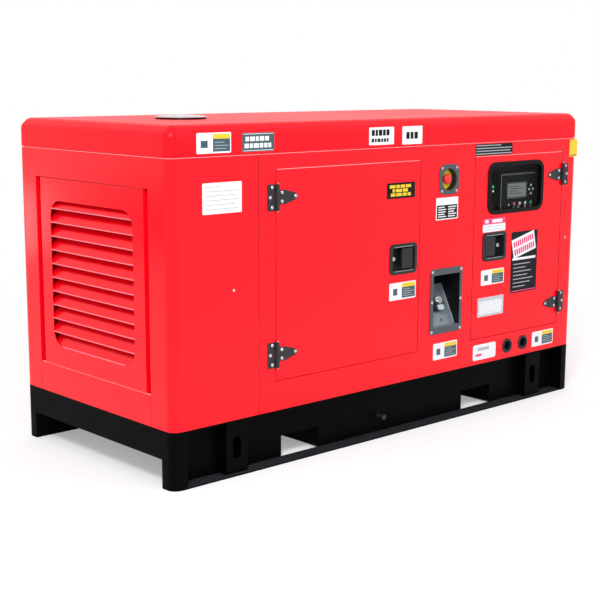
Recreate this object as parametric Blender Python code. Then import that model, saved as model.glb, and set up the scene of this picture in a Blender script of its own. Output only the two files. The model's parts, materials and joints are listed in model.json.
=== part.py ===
"""Soundproofed diesel generator set on a forklift skid, built as an assembly of separate solids.

Metres, +Z up. +X runs along the length, the control side faces -Y and the louvred air outlet
faces -X. The origin is at the centre of the footprint, on the surface that the skid stands on.
"""
import math

import bmesh
import bpy
from mathutils import Matrix, Vector

# Overall sizes
LENGTH = 2.200
WIDTH = 0.950
BASE_TOP = 0.204
BODY_HEIGHT = 0.914
ROOF_HEIGHT = 0.105

# Sheet metal and clearances
CORNER = 0.036          # outside radius of the canopy's upright corners
SHEET = 0.002           # canopy sheet
FLANGE = 0.022          # inward return along a panel's edge
ROOF_SEAM = 0.003       # shadow gap between body and roof
PANEL_SEAM = 0.0015     # gap between two fixed panels
DOOR_GAP = 0.002        # gap around a closed door
TOUCH = 0.0003          # gap between pieces that bear on each other
RUNNING = 0.0004        # radial clearance of a turning or sliding fit
ROOF_BEVEL = 0.027
ROOF_BEVEL_CORNER = 0.012

# Skid
PLATE = 0.006
RAIL_DEPTH = 0.060      # how far a side rail's web lies behind the body's face
FOOT_LENGTH = 0.060
END_BEAM_HEIGHT = 0.102
END_BEAM_DEPTH = 0.055
FORK_WIDTH = 0.182
FORK_HEIGHT = 0.078
FORK_FROM_LEFT = 0.533
FORK_FROM_RIGHT = 0.483
TUNNEL_WALL = 0.005
LUG_WIDTH = 0.098
LUG_REACH = 0.041
LUG_FROM_LEFT = 0.242
LUG_FROM_RIGHT = 0.192
LUG_PLATE = 0.008
SLOT_WIDTH = 0.036
SLOT_HEIGHT = 0.080
SLOT_CENTRE = 0.098
DRAIN_FROM_LEFT = 1.032
DRAIN_RADIUS = 0.008
DRAIN_HEIGHT = 0.071
DRAIN_REACH = 0.040
DRAIN_CAP_LENGTH = 0.014
DRAIN_CAP_RADIUS = 0.0108

# Canopy panels
LEFT_BAY = 0.376        # how far the left end frame wraps round the sides
RIGHT_WRAP = 0.120      # how far the side panels wrap round the right end
RECESS_MARGIN = 0.122           # from the canopy's side to the left recess
RECESS_TOP_DROP = 0.105
RECESS_DEPTH = 0.050
TRAY_SIDE_GAP = 0.028
TRAY_SETBACK = 0.002
LIP = 0.018             # width of the ledge that a door or tray closes on
LOUVRE_SIDE = 0.064             # from the tray face's edge to the slots
LOUVRE_RISE = 0.078             # from the tray's foot to the lowest slot
LOUVRE_HEAD = 0.080             # least height left above the top slot
LOUVRE_PITCH = 0.051
LOUVRE_SLOT = 0.029
LOUVRE_DEPTH = 0.034
LOUVRE_CORNER = 0.060

# Doors
DOOR_BOTTOM_RISE = 0.110
DOOR_TOP_DROP = 0.057
DOOR_DEPTH = 0.022
ENGINE_DOOR_MARGIN = 0.080      # from the left bay's seam to the engine door
SERVICE_BAY = 0.324             # between the two doors
CONTROL_DOOR_WIDTH = 0.576
CONTROL_DOOR_FROM_RIGHT = 0.109
ACCESS_MARGIN = 0.120           # from the seams to the back access panel
PANEL_RAISE = 0.015
ACCESS_FLANGE = 0.040
ACCESS_CORNER = 0.030

# Hinges
HINGE_PIN_OFFSET = 0.008        # pin centre in front of the body's face
KNUCKLE_RADIUS = 0.007
PIN_RADIUS = 0.003
HINGE_HEIGHT = 0.088
LEAF_WIDTH = 0.040
LEAF_THICKNESS = 0.003
STRAP_LENGTH = 0.097
STRAP_ROOT = 0.050
STRAP_TIP = 0.024
HINGE_FROM_EDGE = 0.095
LEAF_OVERHANG = 0.002           # leaf beyond the knuckles, at both ends
PIN_OVERHANG = 0.004
KNUCKLE_CLEAR = 0.0015
STRAP_SHOULDER = 0.040          # where the strap starts to taper

# Latches
LATCH_WIDTH = 0.150
LATCH_HEIGHT = 0.118
LATCH_RIM = 0.014
LATCH_CORNER = 0.012
LATCH_CUP_DEPTH = 0.025
LATCH_WALL = 0.003
PADDLE_WIDTH = 0.060
PADDLE_HEIGHT = 0.078
PADDLE_THICKNESS = 0.006
PADDLE_END_GAP = 0.008
LOCK_RADIUS = 0.009
LOCK_INSET = 0.021
ENGINE_LATCH_FROM_EDGE = 0.0895
CONTROL_LATCH_FROM_EDGE = 0.132
BOLT_HEIGHT = 0.020
BOLT_THICKNESS = 0.009
BOLT_CLEAR = 0.0015
BOLT_FROM_EDGE = 0.005
LATCH_STAND = 0.004             # rim in front of the door's face
RIM_CORNER = 0.018
PADDLE_PIVOT_DEPTH = 0.006
GRIP_DEPTH = 0.006
LOCK_FACE_DEPTH = 0.012
KEYWAY = (0.002, 0.010, 0.004)  # width, height, depth

# Window and control
WINDOW_WIDTH = 0.365
WINDOW_HEIGHT = 0.214
WINDOW_CORNER = 0.042
WINDOW_FROM_HINGE_EDGE = 0.131
WINDOW_TOP_DROP = 0.025
GASKET_RIM = 0.018
GASKET_STAND = 0.006
GASKET_NECK = 0.008
PANE_THICKNESS = 0.004
LATCH_BELOW_WINDOW = 0.072
GASKET_ROUND = 0.002
CONTROL_BOX_SETBACK = 0.060
CONTROL_BOX_DEPTH = 0.190
CONTROL_BOX_MARGIN = 0.025
CONTROL_BOX_HEIGHT = 0.561
CONTROLLER_WIDTH = 0.236
CONTROLLER_HEIGHT = 0.172
CONTROLLER_STAND = 0.028
CONTROLLER_FROM_HINGE_EDGE = 0.139
CONTROLLER_TOP_DROP = 0.075
CONTROLLER_CORNER = 0.010
CONTROLLER_BEVEL = 0.003
KEYS_FROM_SIDE = 0.031
KEYS_FROM_FOOT = 0.039
KEY_RADIUS = 0.0075
KEY_PITCH = 0.037
KEY_LENGTH = 0.0065
KEY_STAND = 0.002
KEY_STROKE = 0.001
KEY_NAMES = ("key_stop", "key_manual", "key_auto", "key_start")

# Emergency stop
STOP_FROM_DOOR = 0.1655         # from the engine door's edge to the button's axis
STOP_BELOW_SEAM = 0.1365
STOP_PLATE_WIDTH = 0.115
STOP_PLATE_HEIGHT = 0.119
STOP_PLATE = 0.003
STOP_CUP_RADIUS = 0.044
STOP_CUP_DEPTH = 0.030
STOP_CUP_WALL = 0.002
STOP_STEM_RADIUS = 0.011
STOP_HEAD_RADIUS = 0.021
STOP_HEAD_LENGTH = 0.016
STOP_HEAD_DEPTH = 0.014         # from the body's face to the head's seat
STOP_NOSE_RADIUS = 0.00715
STOP_NOSE_LENGTH = 0.006
STOP_STEM_TAIL = 0.020
STOP_PLATE_CORNER = 0.034

# Fuel filler
FILLER_WIDTH = 0.188
FILLER_HEIGHT = 0.263
FILLER_RISE = 0.164             # flange bottom above the skid
FILLER_FROM_DOOR = 0.163
FILLER_SIDE_RIM = 0.016
FILLER_END_RIM = 0.026
FILLER_FLANGE = 0.004
FILLER_WALL = 0.003
FILLER_CORNER = 0.012
FILLER_DEPTH = 0.097
FILLER_SILL = 0.020
FILLER_SLOPE_RISE = 0.155
CAP_RADIUS = 0.030
CAP_HEIGHT = 0.024
CAP_UP_SLOPE = 0.085
NECK_RADIUS = 0.021
NECK_STAND = 0.012
NECK_TAIL = 0.045               # neck below the sloping floor
FUEL_PIPE_RADIUS = 0.016
CAP_EAR = (0.048, 0.012, 0.008) # length, width, rise of the cap's grip

# Cable outlets
OUTLET_RADIUS = 0.031
OUTLET_BORE = 0.020
OUTLET_NECK = 0.026
OUTLET_STAND = 0.006
OUTLET_DEPTH = 0.012
OUTLET_RISE = 0.054
OUTLETS_FROM_RIGHT = (0.448, 0.343)

# Roof lid
LID_RADIUS = 0.095
LID_FROM_LEFT = 0.406
LID_RIM = 0.007
LID_DOME = 0.009
LID_PIVOT_OFFSET = 0.082
LID_PIVOT_RADIUS = 0.005
LID_PIVOT_REACH = 0.012
ROOF_HOLE_RADIUS = 0.065

# Engine and generator
SHAFT_RISE = 0.356              # crankshaft above the skid
ENGINE_FROM_LEFT = 0.560
ENGINE_LENGTH = 0.550
ENGINE_HALF_WIDTH = 0.135
CASE_BELOW = 0.120              # crankcase below and above the crankshaft
CASE_ABOVE = 0.170
HEAD_ABOVE = 0.250
COVER_ABOVE = 0.290
OVERLAP = 0.010                 # how far joined castings run into each other
SUMP_CLEAR = 0.020
HEAD_HALF_WIDTH = 0.101
COVER_HALF_WIDTH = 0.061
MANIFOLD_REACH = 0.045
MANIFOLD_HEIGHT = 0.060
MANIFOLD_ABOVE = 0.235
MANIFOLD_INSET = 0.050
NOSE_RADIUS = 0.085
NOSE_LENGTH = 0.020
FILTER_RADIUS = 0.040
FILTER_LENGTH = 0.140
FILTER_FROM_FRONT = 0.170
STARTER_RADIUS = 0.042
STARTER_LENGTH = 0.210
STARTER_BELOW = 0.030
ENGINE_FOOT_FROM_FRONT = 0.060
ENGINE_FOOT_LENGTH = 0.060
GENERATOR_RADIUS = 0.200
GENERATOR_LENGTH = 0.470
SHAFT_RADIUS = 0.025
SHAFT_BORE_GAP = 0.0012  # clears the corners of the turning shaft
SHAFT_NOSE = 0.030              # shaft in front of the crankcase
TAIL_RADIUS = 0.020
TAIL_LENGTH = 0.110
FLYWHEEL_RADIUS = 0.160
FLYWHEEL_THICKNESS = 0.040
FLYWHEEL_GAP = 0.008
ROTOR_RADIUS = 0.120
ROTOR_GAP = 0.025               # between flywheel and rotor
AIR_GAP = 0.006
BELL_CLEAR = 0.010
BELL_LENGTH = 0.068
STATOR_STEP = 0.014             # from the bell's radius to the stator's
TAIL_CONE = 0.050
TAIL_STEP = 0.026
BEARING_LENGTH = 0.020
OUTPUT_BOX = (0.220, 0.220, 0.090)      # length, width, rise above the stator
OUTPUT_BOX_FROM_END = 0.040
GENERATOR_FOOT_LENGTH = 0.160
GENERATOR_FOOT_FROM_END = 0.080
GENERATOR_SIDE_CLEAR = 0.025    # between the control box's back and the generator
FAN_RADIUS = 0.235
FAN_BLADES = 6
FAN_BLADE_WIDTH = 0.090
FAN_BLADE_PITCH = 24            # degrees
FAN_HUB_RADIUS = 0.055
FAN_HUB_LENGTH = 0.040
RADIATOR_FROM_LEFT = 0.375
RADIATOR_THICKNESS = 0.075
RADIATOR_SIDE_CLEAR = 0.110
RADIATOR_TOP_DROP = 0.130
RADIATOR_RISE = 0.020
CORE_SIDE = 0.050
CORE_LOW = 0.070
CORE_HIGH = 0.100
CORE_DEPTH = 0.012
RADIATOR_NECK_RADIUS = 0.024
RADIATOR_NECK_HEIGHT = 0.055
RADIATOR_CAP_RADIUS = 0.034
RADIATOR_CAP_HEIGHT = 0.022
BEARER_SPREAD = 0.165
BEARER_WIDTH = 0.055
BEARER_RISE = 0.041             # bearer top above the skid
BEARER_HEIGHT = 0.050
BEARER_FOOT_MARGIN = 0.020
MUFFLER_RADIUS = 0.085
MUFFLER_LENGTH = 0.520
MUFFLER_FROM_LEFT = 0.215
MUFFLER_TOP_CLEAR = 0.030
MUFFLER_END_RADIUS = 0.051
MUFFLER_END_LENGTH = 0.020
EXHAUST_RADIUS = 0.027
EXHAUST_FROM_FRONT = 0.130
TAILPIPE_LENGTH = 0.100
BATTERY_SIZE = (0.330, 0.175, 0.210)
BATTERY_FROM_RIGHT = 0.110
BATTERY_LID = 0.012
BATTERY_LID_INSET = 0.006
POST_RADIUS = 0.009
POST_HEIGHT = 0.030
POST_INSET = 0.045
INTAKE_RADIUS = 0.032
INTAKE_RISE = 0.205              # intake pipe above the shaft
AIR_CLEANER_RADIUS = 0.075
AIR_CLEANER_LENGTH = 0.280
AIR_CLEANER_END_RADIUS = 0.060
AIR_CLEANER_END_LENGTH = 0.012
AIR_CLEANER_FROM_REAR = 0.060
AIR_CLEANER_RISE = 0.060
AIR_CLEANER_CLEAR = 0.020
DUCT_RADIUS = 0.018
DUCT_ELBOW = 0.040

# Places worked out from the sizes above
HINGE_STAND_OUT = HINGE_PIN_OFFSET + KNUCKLE_RADIUS
LEFT = -LENGTH / 2
RIGHT = LENGTH / 2
FRONT = -WIDTH / 2 + (HINGE_STAND_OUT - PANEL_RAISE) / 2
BACK = FRONT + WIDTH
SEAM_HEIGHT = BASE_TOP + BODY_HEIGHT
BODY_TOP = SEAM_HEIGHT - ROOF_SEAM / 2
ROOF_TOP = SEAM_HEIGHT + ROOF_HEIGHT
DOOR_LOW = BASE_TOP + DOOR_BOTTOM_RISE
DOOR_HIGH = SEAM_HEIGHT - DOOR_TOP_DROP
ENGINE_DOOR_LEFT = LEFT + LEFT_BAY + ENGINE_DOOR_MARGIN
CONTROL_DOOR_RIGHT = RIGHT - CONTROL_DOOR_FROM_RIGHT
CONTROL_DOOR_LEFT = CONTROL_DOOR_RIGHT - CONTROL_DOOR_WIDTH
ENGINE_DOOR_RIGHT = CONTROL_DOOR_LEFT - SERVICE_BAY
WINDOW_TOP = DOOR_HIGH - WINDOW_TOP_DROP
WINDOW_BOTTOM = WINDOW_TOP - WINDOW_HEIGHT
LATCH_CENTRE = WINDOW_BOTTOM - LATCH_BELOW_WINDOW - LATCH_HEIGHT / 2
TRAIN_Y = (FRONT + CONTROL_BOX_SETBACK + CONTROL_BOX_DEPTH
           + GENERATOR_SIDE_CLEAR + GENERATOR_RADIUS)
WEB_BACK = RAIL_DEPTH + PLATE
FORK_TOP = PLATE + FORK_HEIGHT
LOUVRE_MIDDLE = (FRONT + BACK) / 2
SHAFT_HEIGHT = BASE_TOP + SHAFT_RISE
BEARER_TOP = BASE_TOP + BEARER_RISE
RECESS_TOP = SEAM_HEIGHT - RECESS_TOP_DROP
THROUGH = 0.010         # how far a cutter runs past the sheet it pierces

RED = ("red paint", (0.72, 0.035, 0.035), 0.30, 0.0)
BLACK_STEEL = ("black skid paint", (0.012, 0.012, 0.014), 0.45, 0.0)
HARDWARE = ("black hardware", (0.025, 0.025, 0.027), 0.40, 0.3)
RUBBER = ("black rubber", (0.015, 0.015, 0.015), 0.75, 0.0)
GREY_PLASTIC = ("grey plastic", (0.09, 0.10, 0.11), 0.55, 0.0)
CONTROLLER_BLACK = ("black controller shell", (0.010, 0.011, 0.012), 0.40, 0.0)
TANK_BLACK = ("black tank paint", (0.014, 0.014, 0.015), 0.50, 0.0)
SHAFT_STEEL = ("turned steel", (0.45, 0.45, 0.46), 0.35, 1.0)
RADIATOR_BLACK = ("black radiator paint", (0.015, 0.015, 0.017), 0.60, 0.0)
ZINC = ("zinc plate", (0.62, 0.63, 0.64), 0.30, 1.0)
SMOKED = ("smoked acrylic", (0.04, 0.05, 0.05), 0.08, 0.0)
CAST_IRON = ("painted cast iron", (0.10, 0.13, 0.17), 0.50, 0.2)
ALUMINIUM = ("cast aluminium", (0.55, 0.56, 0.57), 0.42, 1.0)
STOP_RED = ("red button", (0.68, 0.02, 0.03), 0.30, 0.0)
PALE_KEY = ("pale key", (0.70, 0.72, 0.72), 0.45, 0.0)


# Solids

def start_clean():
    """Remove every object that the opening file holds."""
    for thing in list(bpy.data.objects):
        bpy.data.objects.remove(thing, do_unlink=True)


def paint(recipe):
    """The Principled material of a (name, colour, roughness, metallic) recipe."""
    name, colour, roughness, metallic = recipe
    material = bpy.data.materials.get(name)
    if material is None:
        material = bpy.data.materials.new(name)
        material.use_nodes = True
        shader = material.node_tree.nodes["Principled BSDF"]
        shader.inputs["Base Color"].default_value = (*colour, 1.0)
        shader.inputs["Roughness"].default_value = roughness
        shader.inputs["Metallic"].default_value = metallic
    return material


def loft(name, rings, closed=False):
    """A solid skinned over rings of equal length, capped at both ends unless it closes on itself."""
    mesh = bmesh.new()
    rows = [[mesh.verts.new(point) for point in ring] for ring in rings]
    count = len(rows[0])
    pairs = list(zip(rows, rows[1:]))
    if closed:
        pairs.append((rows[-1], rows[0]))
    else:
        mesh.faces.new(rows[0])
        mesh.faces.new(rows[-1])
    for lower, upper in pairs:
        for i in range(count):
            j = (i + 1) % count
            mesh.faces.new((lower[i], lower[j], upper[j], upper[i]))
    bmesh.ops.recalc_face_normals(mesh, faces=mesh.faces)
    data = bpy.data.meshes.new(name)
    mesh.to_mesh(data)
    mesh.free()
    thing = bpy.data.objects.new(name, data)
    bpy.context.scene.collection.objects.link(thing)
    return thing


def block(low, high, name="block"):
    """A box between two corners."""
    outline = [(low[0], low[1]), (high[0], low[1]), (high[0], high[1]), (low[0], high[1])]
    return prism(outline, "Z", low[2], high[2], name)


def on_plane(point, axis, height):
    """A flat point lifted into space: (y, z) across X, (x, z) across Y, (x, y) across Z."""
    u, v = point
    return {"X": (height, u, v), "Y": (u, height, v), "Z": (u, v, height)}[axis]


def prism(outline, axis, start, end, name="prism"):
    """A flat outline carried straight along an axis."""
    rings = [[on_plane(point, axis, height) for point in outline] for height in (start, end)]
    return loft(name, rings)


def circle(centre, radius, segments, start=0.0):
    """Points round a full circle in its own plane."""
    return [(centre[0] + radius * math.cos(start + math.tau * i / segments),
             centre[1] + radius * math.sin(start + math.tau * i / segments))
            for i in range(segments)]


def turned(profile, axis, centre, segments, closed=False, name="turned"):
    """A profile of (place along the axis, radius) pairs turned about an axis through centre."""
    rings = [[on_plane(point, axis, place) for point in circle(centre, radius, segments)]
             for place, radius in profile]
    return loft(name, rings, closed)


def rod(axis, centre, radius, start, end, segments=12, name="rod"):
    """A plain round bar."""
    return turned([(start, radius), (end, radius)], axis, centre, segments, name=name)


def rounded(centre, width, height, radius, steps=4):
    """A rectangle with round corners, as flat points."""
    points = []
    for quarter, (side_u, side_v) in enumerate(((1, 1), (-1, 1), (-1, -1), (1, -1))):
        u = centre[0] + side_u * (width / 2 - radius)
        v = centre[1] + side_v * (height / 2 - radius)
        for step in range(steps + 1):
            angle = math.pi / 2 * (quarter + step / steps)
            points.append((u + radius * math.cos(angle), v + radius * math.sin(angle)))
    return points


def corner_arc(centre, radius, start, end, steps=4):
    """Points along an arc between two angles in degrees."""
    angles = [math.radians(start + (end - start) * i / steps) for i in range(steps + 1)]
    return [(centre[0] + radius * math.cos(a), centre[1] + radius * math.sin(a)) for a in angles]


def folded(path, thickness):
    """The outline of a strip that follows a path, its thickness laid to the path's left."""
    inner = []
    for i, point in enumerate(path):
        before = Vector(path[max(i - 1, 0)])
        after = Vector(path[min(i + 1, len(path) - 1)])
        here = Vector(point)
        ways = [(b - a).normalized() for a, b in ((before, here), (here, after)) if (b - a).length > 0]
        normals = [Vector((-way.y, way.x)) for way in ways]
        mitre = sum(normals, Vector((0.0, 0.0))).normalized()
        inner.append(tuple(here + mitre * (thickness / mitre.dot(normals[0]))))
    return list(path) + inner[::-1]


def shape(target, tools, operation):
    """Join or cut the target with each tool in turn, and drop the tools."""
    for tool in tools:
        modifier = target.modifiers.new("shape", "BOOLEAN")
        modifier.operation = operation
        modifier.solver = "EXACT"
        modifier.object = tool
    bpy.context.view_layer.update()
    graph = bpy.context.evaluated_depsgraph_get()
    data = bpy.data.meshes.new_from_object(target.evaluated_get(graph))
    target.modifiers.clear()
    old = target.data
    target.data = data
    bpy.data.meshes.remove(old)
    for tool in tools:
        bpy.data.objects.remove(tool, do_unlink=True)
    return target


def join(target, *tools):
    """The union of the target and the tools."""
    return shape(target, tools, "UNION")


def cut(target, *tools):
    """The target less the tools."""
    return shape(target, tools, "DIFFERENCE")


def finish(thing, name, recipe, origin=None, parent=None):
    """Name, paint and shade a piece, with its origin on the joint's axis where it moves."""
    thing.name = name
    thing.data.name = name
    thing.data.materials.clear()
    thing.data.materials.append(paint(recipe))
    if origin is not None:
        thing.data.transform(Matrix.Translation(-Vector(origin)))
        thing.location = origin
    thing.data.shade_smooth()
    thing.data.set_sharp_from_angle(angle=math.radians(35))
    bpy.context.view_layer.update()
    if parent is not None:
        thing.parent = parent
        thing.matrix_parent_inverse = parent.matrix_world.inverted()
    return thing


# Skid

def side_rail(name, face, inward):
    """A C-channel open outwards, with fork openings and two slotted lifting lugs."""
    def y(depth):
        return face + inward * depth

    top = BASE_TOP - TOUCH
    outline = [(y(0), 0), (y(WEB_BACK), 0), (y(WEB_BACK), top), (y(0), top),
               (y(0), top - PLATE), (y(RAIL_DEPTH), top - PLATE), (y(RAIL_DEPTH), PLATE), (y(0), PLATE)]
    start = LEFT + FOOT_LENGTH + TOUCH
    end = RIGHT - FOOT_LENGTH - TOUCH
    rail = prism(outline, "X", start, end)
    lugs = []
    slots = []
    for lug_left in (LEFT + LUG_FROM_LEFT, RIGHT - LUG_FROM_RIGHT - LUG_WIDTH):
        lug_right = lug_left + LUG_WIDTH
        face_y = RAIL_DEPTH - LUG_REACH
        path = [(lug_left, y(RAIL_DEPTH + PLATE / 2)), (lug_left, y(face_y)),
                (lug_right, y(face_y)), (lug_right, y(RAIL_DEPTH + PLATE / 2))]
        if inward < 0:
            path = path[::-1]
        lugs.append(prism(folded(path, LUG_PLATE), "Z", PLATE / 2, top - PLATE / 2))
        middle = (lug_left + lug_right) / 2
        slot = rounded((middle, SLOT_CENTRE), SLOT_WIDTH, SLOT_HEIGHT, SLOT_WIDTH / 2 - TOUCH, 3)
        slots.append(prism(slot, "Y", y(face_y - LUG_PLATE), y(face_y + LUG_PLATE * 2)))
    forks = [block((left, min(y(0), y(WEB_BACK * 2)) - 0.01, PLATE),
                   (left + FORK_WIDTH, max(y(0), y(WEB_BACK * 2)) + 0.01, FORK_TOP))
             for left in fork_lefts()]
    join(rail, *lugs)
    cut(rail, *slots, *forks)
    finish(rail, name, BLACK_STEEL)


def fork_lefts():
    """The left edges of the two fork pockets."""
    return LEFT + FORK_FROM_LEFT, RIGHT - FORK_FROM_RIGHT - FORK_WIDTH


def end_frame(name, face, inward):
    """Two corner columns joined by a channel across the skid's end."""
    def x(depth):
        return face + inward * depth

    top = BASE_TOP - TOUCH
    columns = []
    for edge, side in ((FRONT, 1), (BACK, -1)):
        outline = [(x(FOOT_LENGTH), edge), (x(FOOT_LENGTH), edge + side * WEB_BACK),
                   (x(0), edge + side * WEB_BACK)]
        centre = (x(CORNER), edge + side * CORNER)
        ends = {(1, 1): (180, 270), (1, -1): (180, 90), (-1, 1): (0, -90), (-1, -1): (0, 90)}
        start, stop = ends[(inward, side)]
        outline += corner_arc(centre, CORNER, start, stop)
        columns.append(prism(outline, "Z", 0, top))
        hollow_low = (min(x(PLATE), x(FOOT_LENGTH - PLATE)),
                      min(edge + side * CORNER, edge + side * (WEB_BACK - PLATE)), -PLATE)
        hollow_high = (max(x(PLATE), x(FOOT_LENGTH - PLATE)),
                       max(edge + side * CORNER, edge + side * (WEB_BACK - PLATE)), top - PLATE)
        cut(columns[-1], block(hollow_low, hollow_high))
    low = top - END_BEAM_HEIGHT
    channel = [(x(0), low), (x(0), top), (x(END_BEAM_DEPTH), top), (x(END_BEAM_DEPTH), top - PLATE),
               (x(PLATE), top - PLATE), (x(PLATE), low + PLATE), (x(END_BEAM_DEPTH), low + PLATE),
               (x(END_BEAM_DEPTH), low)]
    frame = prism_across(channel, FRONT + WEB_BACK - PLATE / 2, BACK - WEB_BACK + PLATE / 2)
    join(frame, *columns)
    if inward < 0:
        tray_right = RIGHT - PLATE / 2
        tray = block((RIGHT - BATTERY_FROM_RIGHT - BATTERY_SIZE[0] - PLATE, FRONT + WEB_BACK + TOUCH,
                      low + PLATE * 2),
                     (tray_right, battery_back() + PLATE, low + PLATE * 3))
        join(frame, tray)
    finish(frame, name, BLACK_STEEL)


def prism_across(outline, start, end):
    """An (x, z) outline carried along Y."""
    return prism(outline, "Y", start, end)


def battery_back():
    """The battery's far side, clear of the generator."""
    return FRONT + WEB_BACK + PLATE + BATTERY_SIZE[1]


def fork_tunnel(name, left):
    """An inverted trough that guides a fork from one side rail to the other."""
    right = left + FORK_WIDTH
    low = PLATE
    top = FORK_TOP + TUNNEL_WALL
    outline = [(left - TUNNEL_WALL, low), (left, low), (left, FORK_TOP), (right, FORK_TOP), (right, low),
               (right + TUNNEL_WALL, low), (right + TUNNEL_WALL, top), (left - TUNNEL_WALL, top)]
    tunnel = prism_across(outline, FRONT + WEB_BACK + TOUCH, BACK - WEB_BACK - TOUCH)
    finish(tunnel, name, BLACK_STEEL)


def smooth_tube(points, radius, segments=10, steps=4):
    """A round tube along a smooth curve through the given points."""
    rings = []
    side = Vector((1.0, 0.0, 0.0))
    spans = len(points) - 1
    for i in range(spans * steps + 1):
        span = min(i // steps, spans - 1)
        t = i / steps - span
        p0, p1 = Vector(points[max(span - 1, 0)]), Vector(points[span])
        p2, p3 = Vector(points[span + 1]), Vector(points[min(span + 2, spans)])
        first, second, third = p2 - p0, 2 * p0 - 5 * p1 + 4 * p2 - p3, 3 * p1 - p0 - 3 * p2 + p3
        centre = p1 + 0.5 * (first * t + second * t ** 2 + third * t ** 3)
        way = (first + 2 * second * t + 3 * third * t ** 2).normalized()
        side = (side - way * side.dot(way)).normalized()
        up = way.cross(side)
        rings.append([tuple(centre + (side * math.cos(a) + up * math.sin(a)) * radius)
                      for a in (math.tau * k / segments for k in range(segments))])
    return loft("tube", rings)


def slope_frame():
    """The cap's seat on the filler pocket's sloping floor: its centre and outward direction."""
    run = FILLER_DEPTH - FILLER_SILL
    along = Vector((0.0, run, FILLER_SLOPE_RISE)).normalized()
    foot = Vector((filler_middle(), FRONT + FILLER_SILL, filler_low() + FILLER_END_RIM))
    outward = Vector((0.0, -along.z, along.y))
    return foot + along * CAP_UP_SLOPE, outward


def filler_middle():
    """The filler pocket's centre along the length."""
    return ENGINE_DOOR_RIGHT + FILLER_FROM_DOOR


def filler_low():
    """The lower edge of the filler pocket's flange."""
    return BASE_TOP + FILLER_RISE


def fuel_tank():
    """A tank that fills the skid between the fork tunnels, with its filler pipe."""
    left_tunnel, right_tunnel = fork_lefts()
    low = (left_tunnel + FORK_WIDTH + TUNNEL_WALL + TOUCH, FRONT + WEB_BACK + TOUCH, PLATE * 2)
    high = (right_tunnel - TUNNEL_WALL - TOUCH, BACK - WEB_BACK - TOUCH,
            BEARER_TOP - BEARER_HEIGHT - PLATE)
    tank = block(low, high)
    seat, outward = slope_frame()
    stub_end = seat - outward * (NECK_TAIL + TOUCH)
    bend = stub_end - outward * NECK_TAIL
    foot = Vector((bend.x, bend.y + FUEL_PIPE_RADIUS, high[2] - PLATE))
    belly = bend.lerp(foot, 0.5) + Vector((0, FUEL_PIPE_RADIUS * 0.75, 0))
    pipe = smooth_tube([stub_end, bend, belly, foot], FUEL_PIPE_RADIUS)
    join(tank, pipe)
    finish(tank, "fuel_tank", TANK_BLACK)


def drain_pipe():
    """A short capped pipe that leaves the tank through the front rail."""
    start = FRONT + RAIL_DEPTH - TOUCH
    tip = start - DRAIN_REACH
    cap = tip + DRAIN_CAP_LENGTH
    profile = [(start, DRAIN_RADIUS), (cap, DRAIN_RADIUS), (cap, DRAIN_CAP_RADIUS),
               (tip, DRAIN_CAP_RADIUS)]
    pipe = turned(profile, "Y", (LEFT + DRAIN_FROM_LEFT, DRAIN_HEIGHT), 10)
    finish(pipe, "drain_pipe", HARDWARE)


# Canopy

def wrap_panel(path):
    """A wall of sheet along a plan path, with a return along its top edge."""
    low = BASE_TOP + TOUCH
    wall = prism(folded(path, SHEET), "Z", low, BODY_TOP)
    ledge = prism(folded(path, FLANGE), "Z", BODY_TOP - SHEET, BODY_TOP)
    return join(wall, ledge)


def left_end_path():
    """Plan of the left end frame, from its back seam round the end to its front seam."""
    seam = LEFT + LEFT_BAY - PANEL_SEAM / 2
    back = corner_arc((LEFT + CORNER, BACK - CORNER), CORNER, 90, 180)
    front = corner_arc((LEFT + CORNER, FRONT + CORNER), CORNER, 180, 270)
    return [(seam, BACK - FLANGE), (seam, BACK)] + back + front + [(seam, FRONT), (seam, FRONT + FLANGE)]


def recess_sides():
    """The near and far edges of the recess that holds a louvred tray."""
    return FRONT + RECESS_MARGIN, BACK - RECESS_MARGIN


def left_end_frame():
    """The left end of the canopy: two corner posts and a header round a deep recess."""
    frame = wrap_panel(left_end_path())
    near, far = recess_sides()
    sides = block((LEFT + SHEET / 2, near - SHEET, DOOR_LOW + TOUCH),
                  (LEFT + RECESS_DEPTH, far + SHEET, RECESS_TOP + SHEET))
    join(frame, sides)
    below = DOOR_LOW - SHEET
    cut(frame,
        block((LEFT - SHEET, near, below), (LEFT + RECESS_DEPTH - SHEET, far, RECESS_TOP)),
        block((LEFT - SHEET, near + LIP, below), (LEFT + RECESS_DEPTH * 2, far - LIP, RECESS_TOP)),
        block((LEFT - SHEET, near, 0), (LEFT + SHEET * 2, far, DOOR_LOW + TOUCH)))
    finish(frame, "left_end_frame", RED)


def left_lower_panel():
    """The cross panel under the left recess, folded back along its top and bottom."""
    near, far = recess_sides()
    low = BASE_TOP + TOUCH
    high = DOOR_LOW - TOUCH
    path = [(LEFT + FLANGE, low), (LEFT, low), (LEFT, high), (LEFT + RECESS_DEPTH, high)]
    panel = prism_across(folded(path[::-1], SHEET), near + PANEL_SEAM / 2, far - PANEL_SEAM / 2)
    finish(panel, "left_lower_panel", RED)


def louvre_rows(low, high):
    """The lower edges of the louvre slots that fit between a tray's foot and head."""
    room = high - low - LOUVRE_RISE - LOUVRE_HEAD - LOUVRE_SLOT
    count = int(room / LOUVRE_PITCH) + 1
    return [low + LOUVRE_RISE + LOUVRE_PITCH * row for row in range(count)]


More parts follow.
